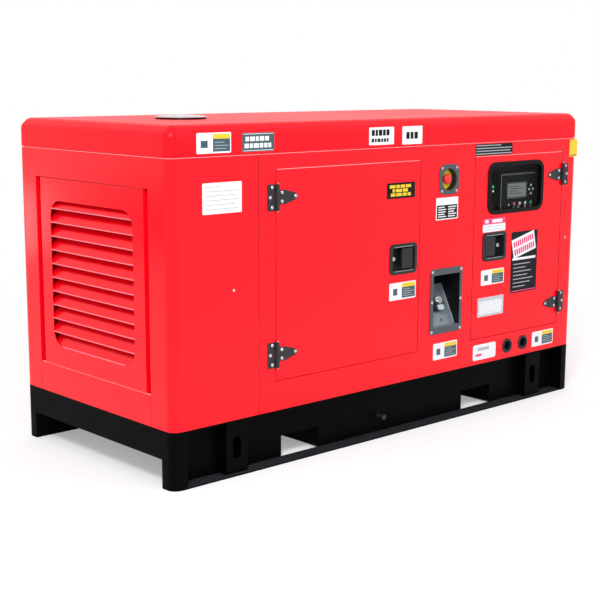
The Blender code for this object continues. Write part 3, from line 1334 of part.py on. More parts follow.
def engine_block():
    """Crankcase, sump, cylinder head, rocker cover, manifolds and mounting feet as one casting."""
    front, rear = engine_ends()
    half = ENGINE_HALF_WIDTH
    z = SHAFT_HEIGHT

    def course(inset, half_width, low, high):
        """A box on the shaft's centre plane, with its ends inset."""
        return block((front + inset, TRAIN_Y - half_width, low), (rear - inset, TRAIN_Y + half_width, high))

    case = course(0, half, z - CASE_BELOW, z + CASE_ABOVE)
    sump = course(MANIFOLD_INSET, HEAD_HALF_WIDTH, BEARER_TOP + SUMP_CLEAR, z - CASE_BELOW + OVERLAP)
    head = course(MANIFOLD_INSET / 2, HEAD_HALF_WIDTH, z + CASE_ABOVE - OVERLAP, z + HEAD_ABOVE)
    cover = course(MANIFOLD_INSET, COVER_HALF_WIDTH, z + HEAD_ABOVE - OVERLAP, z + COVER_ABOVE)
    near = TRAIN_Y - half
    exhaust = block((front + MANIFOLD_INSET, near - MANIFOLD_REACH, z + MANIFOLD_ABOVE - MANIFOLD_HEIGHT),
                    (rear - MANIFOLD_INSET, TRAIN_Y - HEAD_HALF_WIDTH + OVERLAP, z + MANIFOLD_ABOVE))
    intake_y = TRAIN_Y + HEAD_HALF_WIDTH + INTAKE_RADIUS * 0.7
    intake = rod("X", (intake_y, z + INTAKE_RISE), INTAKE_RADIUS, front + MANIFOLD_INSET,
                 rear - MANIFOLD_INSET, 10)
    nose = rod("X", (TRAIN_Y, z), NOSE_RADIUS, front - NOSE_LENGTH, front + OVERLAP, 16)
    can_x = front + FILTER_FROM_FRONT
    can_top = z + OVERLAP
    can = rod("Z", (can_x, near - FILTER_RADIUS), FILTER_RADIUS, can_top - FILTER_LENGTH, can_top)
    can_seat = block((can_x - FILTER_RADIUS, near - FILTER_RADIUS * 1.75, z - OVERLAP),
                     (can_x + FILTER_RADIUS, near + OVERLAP, can_top + OVERLAP * 2))
    starter = rod("X", (TRAIN_Y + half + STARTER_RADIUS - OVERLAP, z - STARTER_BELOW), STARTER_RADIUS,
                  rear - OVERLAP - STARTER_LENGTH, rear - OVERLAP)
    foot_start = front + ENGINE_FOOT_FROM_FRONT
    feet = bearer_feet(foot_start, foot_start + ENGINE_FOOT_LENGTH, half - OVERLAP,
                       BEARER_SPREAD + BEARER_FOOT_MARGIN, z - CASE_BELOW / 2)
    join(case, sump, head, cover, exhaust, intake, nose, can, can_seat, starter, *feet)
    cut(case, rod("X", (TRAIN_Y, z), SHAFT_RADIUS + SHAFT_BORE_GAP, front - NOSE_LENGTH - THROUGH,
                  rear + THROUGH, 14))
    finish(case, "engine_block", CAST_IRON)


def generator_shaft():
    """The crankshaft line: fan stub, flywheel and rotor on one shaft."""
    front, rear = engine_ends()
    wheel = rear + FLYWHEEL_GAP
    wheel_end = wheel + FLYWHEEL_THICKNESS
    rotor = wheel_end + ROTOR_GAP
    end = rear + GENERATOR_LENGTH + OVERLAP
    tail = end - TAIL_LENGTH
    profile = [(front - SHAFT_NOSE, SHAFT_RADIUS), (wheel, SHAFT_RADIUS), (wheel, FLYWHEEL_RADIUS),
               (wheel_end, FLYWHEEL_RADIUS), (wheel_end, SHAFT_RADIUS), (rotor, SHAFT_RADIUS),
               (rotor, ROTOR_RADIUS), (tail, ROTOR_RADIUS), (tail, TAIL_RADIUS), (end, TAIL_RADIUS)]
    shaft = turned(profile, "X", (TRAIN_Y, SHAFT_HEIGHT), 14)
    finish(shaft, "generator_shaft", SHAFT_STEEL, origin=(rear, TRAIN_Y, SHAFT_HEIGHT))


def generator_housing():
    """The generator's stator housing, open to the flywheel and closed at its far end."""
    rear = engine_ends()[1]
    start = rear + TOUCH
    end = rear + GENERATOR_LENGTH
    bell = start + BELL_LENGTH
    stator = GENERATOR_RADIUS - STATOR_STEP
    cone = end - TAIL_CONE
    wheel_room = FLYWHEEL_RADIUS + BELL_CLEAR
    rotor_room = ROTOR_RADIUS + AIR_GAP
    bearing = TAIL_RADIUS + RUNNING
    profile = [(start, wheel_room), (start, GENERATOR_RADIUS), (bell, GENERATOR_RADIUS),
               (bell + STATOR_STEP, stator), (cone, stator), (end, stator - TAIL_STEP), (end, bearing),
               (end - BEARING_LENGTH, bearing), (cone, rotor_room), (bell, rotor_room),
               (bell - SHEET * 2, wheel_room)]
    centre = (TRAIN_Y, SHAFT_HEIGHT)
    housing = turned(profile, "X", centre, 24, closed=True)
    length, width, rise = OUTPUT_BOX
    box_end = end - OUTPUT_BOX_FROM_END
    output_box = block((box_end - length, TRAIN_Y - width / 2, SHAFT_HEIGHT + stator - OVERLAP * 2),
                       (box_end, TRAIN_Y + width / 2, SHAFT_HEIGHT + stator + rise))
    foot_end = end - GENERATOR_FOOT_FROM_END
    feet = bearer_feet(foot_end - GENERATOR_FOOT_LENGTH, foot_end, BEARER_SPREAD - BEARER_FOOT_MARGIN,
                       BEARER_SPREAD + OVERLAP, SHAFT_HEIGHT - GENERATOR_RADIUS / 2)
    join(housing, output_box, *feet)
    cut(housing, rod("X", centre, rotor_room, bell, cone, 24))
    finish(housing, "generator_housing", CAST_IRON)


def cooling_fan():
    """A pusher fan on the shaft's nose."""
    end = engine_ends()[0] - SHAFT_NOSE - TOUCH
    middle = end - FAN_HUB_LENGTH / 2
    hub = rod("X", (TRAIN_Y, SHAFT_HEIGHT), FAN_HUB_RADIUS, end - FAN_HUB_LENGTH, end)
    blades = []
    for i in range(FAN_BLADES):
        blade = block((-SHEET, -FAN_BLADE_WIDTH / 2, FAN_HUB_RADIUS - OVERLAP * 1.5),
                      (SHEET, FAN_BLADE_WIDTH / 2, FAN_RADIUS))
        around = Matrix.Rotation(math.tau * i / FAN_BLADES, 4, "X")
        pitch = Matrix.Rotation(math.radians(FAN_BLADE_PITCH), 4, "Z")
        blade.data.transform(Matrix.Translation((middle, TRAIN_Y, SHAFT_HEIGHT)) @ around @ pitch)
        blades.append(blade)
    join(hub, *blades)
    finish(hub, "cooling_fan", RADIATOR_BLACK, origin=(middle, TRAIN_Y, SHAFT_HEIGHT))


def radiator():
    """A radiator core in its frame, with the header tank's neck under the roof lid."""
    left = LEFT + RADIATOR_FROM_LEFT
    right = left + RADIATOR_THICKNESS
    near = FRONT + RADIATOR_SIDE_CLEAR
    far = BACK - RADIATOR_SIDE_CLEAR
    low = BASE_TOP + RADIATOR_RISE
    high = SEAM_HEIGHT - RADIATOR_TOP_DROP
    body = block((left, near, low), (right, far, high))
    faces = ((left - THROUGH, left + CORE_DEPTH), (right - CORE_DEPTH, right + THROUGH))
    cut(body, *[block((start, near + CORE_SIDE, low + CORE_LOW), (end, far - CORE_SIDE, high - CORE_HIGH))
                for start, end in faces])
    neck_top = high + RADIATOR_NECK_HEIGHT
    join(body, rod("Z", lid_centre(), RADIATOR_NECK_RADIUS, high - OVERLAP, neck_top),
         rod("Z", lid_centre(), RADIATOR_CAP_RADIUS, neck_top - RADIATOR_CAP_HEIGHT, neck_top + SHEET))
    finish(body, "radiator", RADIATOR_BLACK)


def muffler():
    """A silencer across the outlet plenum with its pipe from the exhaust manifold."""
    x = LEFT + MUFFLER_FROM_LEFT
    y = (FRONT + BACK) / 2
    z = SEAM_HEIGHT - MUFFLER_RADIUS - MUFFLER_TOP_CLEAR
    half = MUFFLER_LENGTH / 2
    shell = turned([(y - half, MUFFLER_END_RADIUS), (y - half + MUFFLER_END_LENGTH, MUFFLER_RADIUS),
                    (y + half - MUFFLER_END_LENGTH, MUFFLER_RADIUS), (y + half, MUFFLER_END_RADIUS)], "Y",
                   (x, z), 16)
    riser_x = engine_ends()[0] + EXHAUST_FROM_FRONT
    pipe_y = TRAIN_Y - ENGINE_HALF_WIDTH - MANIFOLD_REACH / 4
    run_z = z + MUFFLER_RADIUS - EXHAUST_RADIUS - SHEET * 2
    inlet = rod("X", (pipe_y, run_z), EXHAUST_RADIUS, x, riser_x + EXHAUST_RADIUS * 1.1, 10)
    riser = rod("Z", (riser_x, pipe_y), EXHAUST_RADIUS, SHAFT_HEIGHT + MANIFOLD_ABOVE + TOUCH, run_z, 10)
    tail = rod("Z", (x, y + half * 0.6), EXHAUST_RADIUS, z - MUFFLER_RADIUS - TAILPIPE_LENGTH, z, 10)
    join(shell, inlet, riser, tail)
    finish(shell, "muffler", ALUMINIUM)


def air_cleaner():
    """The intake air filter canister beside the cylinder head, with its duct to the intake."""
    y = TRAIN_Y + ENGINE_HALF_WIDTH + AIR_CLEANER_RADIUS + AIR_CLEANER_CLEAR
    z = SHAFT_HEIGHT + INTAKE_RISE + AIR_CLEANER_RISE + AIR_CLEANER_RADIUS
    start = engine_ends()[1] - AIR_CLEANER_LENGTH - AIR_CLEANER_FROM_REAR
    end = start + AIR_CLEANER_LENGTH
    can = turned([(start, AIR_CLEANER_END_RADIUS), (start + AIR_CLEANER_END_LENGTH, AIR_CLEANER_RADIUS),
                  (end - AIR_CLEANER_END_LENGTH, AIR_CLEANER_RADIUS), (end, AIR_CLEANER_END_RADIUS)], "X",
                 (y, z), 16)
    duct_x = start + AIR_CLEANER_LENGTH / 3
    duct_y = TRAIN_Y + HEAD_HALF_WIDTH + INTAKE_RADIUS
    duct_low = SHAFT_HEIGHT + INTAKE_RISE + INTAKE_RADIUS + TOUCH * 3
    duct = smooth_tube([(duct_x, duct_y, duct_low), (duct_x, duct_y, duct_low + DUCT_ELBOW),
                        (duct_x, y - AIR_CLEANER_CLEAR, z - AIR_CLEANER_RADIUS / 2)], DUCT_RADIUS, 10, 3)
    join(can, duct)
    finish(can, "air_cleaner", RADIATOR_BLACK)


def battery():
    """The starter battery with its two posts, on the tray beside the right end."""
    length, depth, height = BATTERY_SIZE
    low = BASE_TOP - TOUCH - END_BEAM_HEIGHT + PLATE * 3 + TOUCH
    high = low + height
    right = RIGHT - BATTERY_FROM_RIGHT
    left = right - length
    near = FRONT + WEB_BACK + PLATE
    inset = BATTERY_LID_INSET
    case = block((left, near, low), (right, near + depth, high))
    lid = block((left + inset, near + inset, high - inset),
                (right - inset, near + depth - inset, high + BATTERY_LID))
    posts = [rod("Z", (x, near + POST_INSET), POST_RADIUS, high, high + POST_HEIGHT, 10)
             for x in (left + POST_INSET, right - POST_INSET)]
    join(case, lid, *posts)
    finish(case, "battery", TANK_BLACK)


def build():
    """Make every piece, from the ground up."""
    start_clean()
    side_rail("skid_rail_front", FRONT, 1)
    side_rail("skid_rail_back", BACK, -1)
    end_frame("skid_end_left", LEFT, 1)
    end_frame("skid_end_right", RIGHT, -1)
    for name, left in zip(("fork_tunnel_left", "fork_tunnel_right"), fork_lefts()):
        fork_tunnel(name, left)
    fuel_tank()
    drain_pipe()
    engine_bearer()

    left_end_frame()
    left_lower_panel()
    louvre_tray("louvre_panel_left", LEFT, 1, recess_sides())
    front_panel()
    back_panel()
    back_access_panel()
    right_end_panel()
    louvre_tray("louvre_panel_right", RIGHT, -1, right_recess())
    roof_panel()
    roof_lid()

    doors()
    control_box()
    controller()
    emergency_stop()
    filler_pocket()
    fuel_cap()
    outlets()

    engine_block()
    generator_shaft()
    generator_housing()
    cooling_fan()
    radiator()
    muffler()
    air_cleaner()
    battery()


build()
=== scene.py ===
import json
import math
from itertools import product

import bmesh
import bpy
from mathutils import Matrix, Vector

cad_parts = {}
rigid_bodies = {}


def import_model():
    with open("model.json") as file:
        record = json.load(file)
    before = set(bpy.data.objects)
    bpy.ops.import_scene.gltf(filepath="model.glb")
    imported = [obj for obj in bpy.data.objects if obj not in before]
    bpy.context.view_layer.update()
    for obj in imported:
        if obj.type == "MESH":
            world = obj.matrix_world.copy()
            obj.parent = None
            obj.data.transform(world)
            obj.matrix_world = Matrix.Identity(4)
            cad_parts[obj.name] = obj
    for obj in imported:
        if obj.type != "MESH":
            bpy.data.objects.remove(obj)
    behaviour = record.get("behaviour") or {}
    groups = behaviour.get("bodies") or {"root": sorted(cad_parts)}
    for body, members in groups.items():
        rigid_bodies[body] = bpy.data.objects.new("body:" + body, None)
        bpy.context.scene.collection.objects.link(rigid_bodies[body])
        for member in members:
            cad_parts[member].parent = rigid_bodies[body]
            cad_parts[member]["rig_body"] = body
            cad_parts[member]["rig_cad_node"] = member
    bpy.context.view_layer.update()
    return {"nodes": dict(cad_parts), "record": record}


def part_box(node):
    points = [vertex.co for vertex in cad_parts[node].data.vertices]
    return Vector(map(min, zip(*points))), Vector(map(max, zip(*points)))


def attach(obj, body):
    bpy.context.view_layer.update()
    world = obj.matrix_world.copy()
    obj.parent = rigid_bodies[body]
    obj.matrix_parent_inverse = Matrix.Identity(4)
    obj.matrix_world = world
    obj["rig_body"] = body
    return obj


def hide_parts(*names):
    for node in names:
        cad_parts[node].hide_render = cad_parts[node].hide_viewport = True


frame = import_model()

bodyOf = {node: body for body, nodes in frame["record"]["behaviour"]["bodies"].items() for node in nodes}

# the canopy's own faces, read from the frame
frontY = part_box("front_panel")[0].y
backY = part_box("back_panel")[1].y
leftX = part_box("left_end_frame")[0].x
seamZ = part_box("front_panel")[1].z
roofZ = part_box("roof_panel")[1].z


# directions that faces look in
front, back, upward = (0, -1, 0), (0, 1, 0), (0, 0, 1)


# colours and nodes

def hexToLinear(code):
    channels = [int(code[i:i + 2], 16) / 255 for i in (1, 3, 5)]
    return [c / 12.92 if c <= 0.04045 else ((c + 0.055) / 1.055) ** 2.4 for c in channels] + [1.0]


def addNode(tree, kind, settings=None, inputs=None):
    node = tree.nodes.new(kind)
    for key, value in (settings or {}).items():
        setattr(node, key, value)
    for socket, value in (inputs or {}).items():
        if isinstance(value, bpy.types.NodeSocket):
            tree.links.new(value, node.inputs[socket])
        else:
            node.inputs[socket].default_value = value
    return node


def newMaterial(name):
    material = bpy.data.materials.new(name)
    material.use_nodes = True
    return material, material.node_tree, material.node_tree.nodes["Principled BSDF"]


def makeFinish(name, colour, roughness, metallic=0.0, shade=None, blotch=200, amount=0.5, swing=0.03,
               grain=1.5, relief=0.01, **sockets):
    # sizes are in millimetres: blotch is the width of a soft change of shade, grain the width of
    # a bump and relief its height; swing is how far the roughness wanders
    material, tree, shader = newMaterial(name)
    shader.inputs["Metallic"].default_value = metallic
    for socket, value in sockets.items():
        shader.inputs[socket.replace("_", " ")].default_value = value
    place = addNode(tree, "ShaderNodeTexCoord").outputs["Object"]
    cloud = addNode(tree, "ShaderNodeTexNoise",
                    inputs={"Vector": place, "Scale": 1000 / blotch, "Detail": 3.0})
    smooth = {"interpolation_type": "SMOOTHSTEP"}
    cloudSpan = {0: cloud.outputs[0], "From Min": 0.15, "From Max": 0.85}
    blend = addNode(tree, "ShaderNodeMapRange", smooth, {**cloudSpan, "To Max": amount})
    mix = addNode(tree, "ShaderNodeMix", {"data_type": "RGBA"},
                  {0: blend.outputs[0], 6: hexToLinear(colour), 7: hexToLinear(shade or colour)})
    gloss = addNode(tree, "ShaderNodeMapRange", smooth,
                    {**cloudSpan, "To Min": roughness - swing, "To Max": roughness + swing})
    lumps = addNode(tree, "ShaderNodeTexNoise",
                    inputs={"Vector": place, "Scale": 1000 / grain, "Detail": 2.0})
    bump = addNode(tree, "ShaderNodeBump", inputs={"Height": lumps.outputs[0], "Distance": relief / 1000})
    tree.links.new(mix.outputs[2], shader.inputs["Base Color"])
    tree.links.new(gloss.outputs[0], shader.inputs["Roughness"])
    tree.links.new(bump.outputs[0], shader.inputs["Normal"])
    return material


# gloss powder coat on folded sheet steel: one even deep red with a faint orange peel
redPaint = makeFinish("redPowderCoat", "#F9061C", 0.20, shade="#F70519", blotch=900, swing=0.01,
                      grain=3.0, relief=0.003, Specular_IOR_Level=0.25)
# the same coat on the roof, dulled by dust so that it mirrors less of the sky
roofPaint = makeFinish("dustyRoofCoat", "#F9061C", 0.40, shade="#F70519", blotch=900, swing=0.02,
                       grain=3.0, relief=0.003, Specular_IOR_Level=0.17)
# the red coat painted pale pink on the louvre lips: a painted highlight, the light caught along each lip's
# rounded top edge
louvreLipHighlightPaint = makeFinish("paintedLouvreLipHighlight", "#FF7A88", 0.30, shade="#F97080", blotch=120, grain=3.0,
                         relief=0.003, Specular_IOR_Level=0.25)
# painted shade: a deep red-black on the cut edges inside a joint, standing for the shade that keeps the joint's
# line dark
jointShadePaint = makeFinish("paintedJointShade", "#5E040C", 0.60, shade="#520309", blotch=60, grain=2.0,
                      relief=0.01, Specular_IOR_Level=0.15)
# painted highlight: a pale pink strip along the seams and door tops, standing for the light caught on the
# panels' top edges; it shows as a thin pale line
seamHighlightPaint = makeFinish("paintedSeamHighlight", "#FFA8AE", 0.45, shade="#F89CA4", blotch=40, grain=2.0,
                         relief=0.01)
# satin enamel on welded plate, with a little dust in its gloss
skidPaint = makeFinish("blackSkidEnamel", "#030304", 0.50, shade="#070708", blotch=90, swing=0.06,
                       grain=2.5, relief=0.02, Specular_IOR_Level=0.035)
# painted light: the flanges' upper sides are painted a soft grey for the light from above that falls on them
flangeTopLightPaint = makeFinish("paintedFlangeTopLight", "#2B2B30", 0.70, shade="#222226", blotch=60, swing=0.06,
                       grain=2.0, relief=0.02, Specular_IOR_Level=0.10)
# powder coat on zinc castings, fine and dry
hingePaint = makeFinish("blackHingeCoat", "#24262A", 0.38, shade="#2C2E32", blotch=25, swing=0.06,
                        grain=0.9, relief=0.02, Specular_IOR_Level=0.3)
latchPaint = makeFinish("blackLatchCoat", "#1B1D20", 0.36, shade="#212327", blotch=30, grain=1.0,
                        relief=0.015, Specular_IOR_Level=0.30)
# moulded ABS with a fine spark texture
pocketPlastic = makeFinish("greyMouldedPlastic", "#42484F", 0.42, shade="#4A5057", blotch=60, grain=0.9,
                           relief=0.03, Specular_IOR_Level=0.4)
# painted light: the pale grey of the filler pocket's sloping floor, where light falls into the pocket
pocketFloorLightPaint = makeFinish("paintedPocketFloorLight", "#76828A", 0.38, shade="#6C7880", blotch=50, grain=0.9,
                         relief=0.03)
# painted shade: the near-black of the pocket's walls and ceiling, where shade falls
pocketWallShadePaint = makeFinish("paintedPocketWallShade", "#0B0D10", 0.45, shade="#111417", blotch=50, grain=0.9,
                        relief=0.03, Specular_IOR_Level=0.2)
# painted highlight: pale grey plastic for the light caught along ridges and edges, used on the filler floor's
# ribs and the controller's left and top edges
plasticEdgeHighlightPaint = makeFinish("paintedPlasticEdgeHighlight", "#A4AAB6", 0.35, shade="#ABB0BA", blotch=30, grain=4.0,
                           relief=0.001)
controllerPlastic = makeFinish("blackControllerShell", "#080B0B", 0.40, shade="#0D1010", blotch=60,
                               grain=6.0, relief=0.002, Specular_IOR_Level=0.08)
# EPDM rubber, soft and slightly grey where it is worn
sealRubber = makeFinish("blackSealRubber", "#060708", 0.50, shade="#0C0D0F", blotch=20, grain=1.2,
                        relief=0.02, Specular_IOR_Level=0.14)
# bright zinc plate: cloudy, with small changes of gloss
zincPlate = makeFinish("brightZincPlate", "#D9DBDC", 0.28, metallic=1.0, shade="#B9BDC2", blotch=6,
                       swing=0.08, grain=1.2, relief=0.01)
# aluminised sheet, dulled by heat
mufflerSkin = makeFinish("aluminisedSteel", "#84878B", 0.48, metallic=0.8, shade="#6F7276", blotch=40,
                         swing=0.06, grain=1.5, relief=0.02)
# zinc die-casting, tumbled to a cool satin grey
castZinc = makeFinish("satinZincCasting", "#BCC8CE", 0.34, metallic=0.35, shade="#A9B5BB", blotch=14,
                      swing=0.05, grain=1.0, relief=0.02)
# painted highlight: a bright satin metal bar along the latch cups' lips, standing for the light caught on their
# edges
latchLipHighlightPaint = makeFinish("latchLipHighlightPaint", "#C9CBD2", 0.38, metallic=0.6, shade="#BCBFC6", blotch=25,
                           swing=0.05, grain=1.5, relief=0.004)
# paper filter's spray-painted can
filterPaint = makeFinish("whiteFilterPaint", "#C9CCCE", 0.40, shade="#BFC2C5", blotch=30, grain=2.0,
                         relief=0.01)
# spun aluminium
lidAluminium = makeFinish("spunAluminium", "#DDE0E3", 0.30, metallic=1.0, shade="#C4C8CD", blotch=30,
                          swing=0.06, grain=1.0, relief=0.008)
# moulded polycarbonate buttons and keys
buttonRed = makeFinish("redButtonPlastic", "#E8202E", 0.30, shade="#DE1826", blotch=15, grain=1.0,
                       relief=0.01)
buttonYellow = makeFinish("yellowButtonDisc", "#F2DE22", 0.40, shade="#E8D21C", blotch=15, grain=1.0,
                          relief=0.01)
keyPale = makeFinish("paleKeyPlastic", "#E8ECEC", 0.45, shade="#DDE2E2", blotch=8, grain=0.8, relief=0.02)
keyGreen = makeFinish("greenKeyPlastic", "#2FC48A", 0.40, shade="#2AB47E", blotch=8, grain=0.8,
                      relief=0.02)
keyRed = makeFinish("redKeyPlastic", "#EA6A78", 0.40, shade="#E05C6A", blotch=8, grain=0.8, relief=0.02)
# liquid crystal screen under a clear film, grey with no backlight
screenGlass = makeFinish("greyLiquidCrystal", "#8B9590", 0.22, shade="#838D86", blotch=40, swing=0.01,
                         grain=5, relief=0.001)
screenInk = makeFinish("greyScreenInk", "#3A423E", 0.30, shade="#343B38", blotch=10, grain=2.0,
                       relief=0.001)
# castings under blue-grey engine enamel, rough from the sand mould
engineEnamel = makeFinish("engineEnamel", "#5D6B7C", 0.45, metallic=0.1, shade="#536071", blotch=50,
                          swing=0.08, grain=2.0, relief=0.08)
turnedSteel = makeFinish("turnedSteel", "#B8BABD", 0.32, metallic=1.0, shade="#A3A6AA", blotch=12,
                         grain=0.8, relief=0.01)
radiatorPaint = makeFinish("radiatorBlack", "#16171A", 0.60, shade="#1E2023", blotch=30, grain=2.0,
                           relief=0.04)
tankPaint = makeFinish("tankBlack", "#121214", 0.50, shade="#1A1A1C", blotch=80, grain=2.0, relief=0.03)
# open-cell acoustic foam: dark, dead matt and coarse
acousticFoam = makeFinish("acousticFoam", "#17181A", 0.92, shade="#222326", blotch=12, grain=4.0,
                          relief=0.6, Specular_IOR_Level=0.1)
# screen-printed vinyl under a clear film, each ink its own
vinylWhite = makeFinish("whiteVinyl", "#E6E8ED", 0.30, shade="#E0E2E8", blotch=60, grain=4.0,
                        relief=0.002)
vinylGrey = makeFinish("paleGreyInk", "#A4AAB6", 0.35, shade="#ABB0BA", blotch=30, grain=4.0,
                       relief=0.001)
vinylBlack = makeFinish("blackVinyl", "#0E0F12", 0.32, shade="#141518", blotch=60, grain=4.0,
                        relief=0.002, Specular_IOR_Level=0.12)
vinylYellow = makeFinish("yellowVinyl", "#E6C418", 0.32, shade="#DCB812", blotch=60, grain=4.0,
                         relief=0.002)
vinylTeal = makeFinish("slateBlueVinyl", "#35525A", 0.32, shade="#2E4950", blotch=60, grain=4.0,
                       relief=0.002)
vinylPink = makeFinish("magentaInk", "#E63A78", 0.35, shade="#DC3270", blotch=30, grain=4.0, relief=0.001)
plateSilver = makeFinish("silverDataPlate", "#C9CBD2", 0.38, metallic=0.6, shade="#BCBFC6", blotch=25,
                         swing=0.05, grain=1.5, relief=0.004)
# lightly smoked cast acrylic, thin enough that it barely bends what is behind it
smokedPane = makeFinish("smokedAcrylic", "#0A0E0D", 0.05, shade="#0C100F", blotch=60, swing=0.01,
                        grain=30, relief=0.0, Alpha=0.14, Specular_IOR_Level=0.3)


# modelling tools

def clearPick():
    bpy.ops.object.select_all(action="DESELECT")


def selectOnly(*pieces):
    clearPick()
    for piece in pieces:
        piece.select_set(True)
    bpy.context.view_layer.objects.active = pieces[0]


def applyPlace(piece):
    selectOnly(piece)
    bpy.ops.object.transform_apply(location=True, rotation=True, scale=True)


def applyModifier(piece, kind, **settings):
    modifier = piece.modifiers.new(kind.lower(), kind)
    for key, value in settings.items():
        setattr(modifier, key, value)
    selectOnly(piece)
    bpy.ops.object.modifier_apply(modifier=modifier.name)


def shapeWith(piece, cutter, operation):
    applyModifier(piece, "BOOLEAN", operation=operation, object=cutter, solver="EXACT")
    bpy.data.objects.remove(cutter, do_unlink=True)


def cutWith(piece, *cutters):
    for cutter in cutters:
        shapeWith(piece, cutter, "DIFFERENCE")


def joinUp(pieces):
    selectOnly(*pieces)
    if len(pieces) > 1:
        bpy.ops.object.join()
    return bpy.context.view_layer.objects.active


def copyTo(piece, offset):
    selectOnly(piece)
    bpy.ops.object.duplicate()
    copy = bpy.context.active_object
    copy.location = offset
    applyPlace(copy)
    return copy


def bevelEdges(piece, test, width, segments):
    # rounds the edges that the test picks by their two ends
    selectOnly(piece)
    bpy.ops.object.mode_set(mode="EDIT")
    bpy.ops.mesh.select_mode(type="EDGE")
    bpy.ops.mesh.select_all(action="DESELECT")
    sketch = bmesh.from_edit_mesh(piece.data)
    for edge in sketch.edges:
        if test(edge.verts[0].co, edge.verts[1].co):
            edge.select_set(True)
    bmesh.update_edit_mesh(piece.data)
    bpy.ops.mesh.bevel(offset=width, segments=segments, affect="EDGES")
    bpy.ops.object.mode_set(mode="OBJECT")


def addBlock(low, high):
    clearPick()
    bpy.ops.mesh.primitive_cube_add(size=1, location=[(a + b) / 2 for a, b in zip(low, high)])
    piece = bpy.context.active_object
    piece.scale = [b - a for a, b in zip(low, high)]
    applyPlace(piece)
    return piece


def roundedBlock(low, high, axis, radius, segments=6):
    # a block whose four edges along one axis are rounded
    piece = addBlock(low, high)
    way = "XYZ".index(axis)
    bevelEdges(piece, lambda a, b: abs(a[way] - b[way]) > 1e-6, radius, segments)
    return piece


def atHeight(level, section):
    # a section of (radius, height) pairs, lifted to a level
    return [(radius, level + height) for radius, height in section]


def turnTo(piece, outward):
    piece.rotation_euler = Vector(outward).to_track_quat("Z", "Y").to_euler()


def turnProfile(steps, centre=(0, 0, 0), outward=(0, 0, 1), segments=48, ring=False):
    # steps are (radius, height) pairs; a ring's steps go round its section and close on the first
    clearPick()
    bpy.ops.mesh.primitive_circle_add(vertices=segments, radius=steps[0][0],
                                      fill_type="NOTHING" if ring else "NGON")
    piece = bpy.context.active_object
    bpy.ops.object.mode_set(mode="EDIT")
    bpy.ops.mesh.select_all(action="SELECT")
    bpy.ops.transform.translate(value=(0, 0, steps[0][1]))
    if ring:
        steps = list(steps) + [steps[0]]
    for (wasRadius, wasHeight), (radius, height) in zip(steps, steps[1:]):
        bpy.ops.mesh.extrude_region_move(TRANSFORM_OT_translate={"value": (0, 0, height - wasHeight)})
        spread = radius / wasRadius
        bpy.ops.transform.resize(value=(spread, spread, 1), center_override=(0, 0, height))
    bpy.ops.mesh.select_all(action="SELECT")
    bpy.ops.mesh.remove_doubles(threshold=0.00001)
    bpy.ops.mesh.normals_make_consistent(inside=False)
    bpy.ops.object.mode_set(mode="OBJECT")
    turnTo(piece, outward)
    piece.location = centre
    applyPlace(piece)
    return piece


def roundEdges(piece, width, segments=2, angle=40):
    applyModifier(piece, "BEVEL", width=width, segments=segments, limit_method="ANGLE",
                  angle_limit=math.radians(angle))


def smoothOut(piece, angle=35):
    selectOnly(piece)
    bpy.ops.object.shade_smooth_by_angle(angle=math.radians(angle))
    applyModifier(piece, "WEIGHTED_NORMAL", keep_sharp=True)


def paintFaces(name, materials, pick):
    # pick gives a face its place in the piece's materials by its centre and normal: 0 is the first one's
    piece = bpy.data.objects[name]
    for material in materials:
        piece.data.materials.append(material)
    for face in piece.data.polygons:
        face.material_index = int(pick(face.center, face.normal))


def finishPiece(piece, name, body, material, nodes=()):
    piece.name = name
    piece.data.name = name
    if material is not None:
        piece.data.materials.clear()
        piece.data.materials.append(material)
    smoothOut(piece)
    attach(piece, body)
    if nodes:
        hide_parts(*nodes)
    return piece


def mergeSkin(piece):
    # loose triangles become one skin of flat faces
    selectOnly(piece)
    bpy.ops.object.mode_set(mode="EDIT")
    bpy.ops.mesh.select_all(action="SELECT")
    bpy.ops.mesh.remove_doubles(threshold=0.00002)
    bpy.ops.mesh.dissolve_limited(angle_limit=math.radians(0.5))
    bpy.ops.mesh.normals_make_consistent(inside=False)
    bpy.ops.object.mode_set(mode="OBJECT")


def dressNode(node, name, material, edge, cutter=None):
    # the node's own shape, made one skin, cut where a cutter is given and given rounded edges
    selectOnly(frame["nodes"][node])
    bpy.ops.object.duplicate()
    piece = bpy.context.active_object
    piece.parent = None
    del piece["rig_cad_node"]
    del piece["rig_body"]
    bpy.ops.mesh.customdata_custom_splitnormals_clear()
    mergeSkin(piece)
    if cutter:
        cutWith(piece, cutter)
        mergeSkin(piece)
    if edge:
        roundEdges(piece, edge)
    return finishPiece(piece, name, bodyOf[node], material, [node])


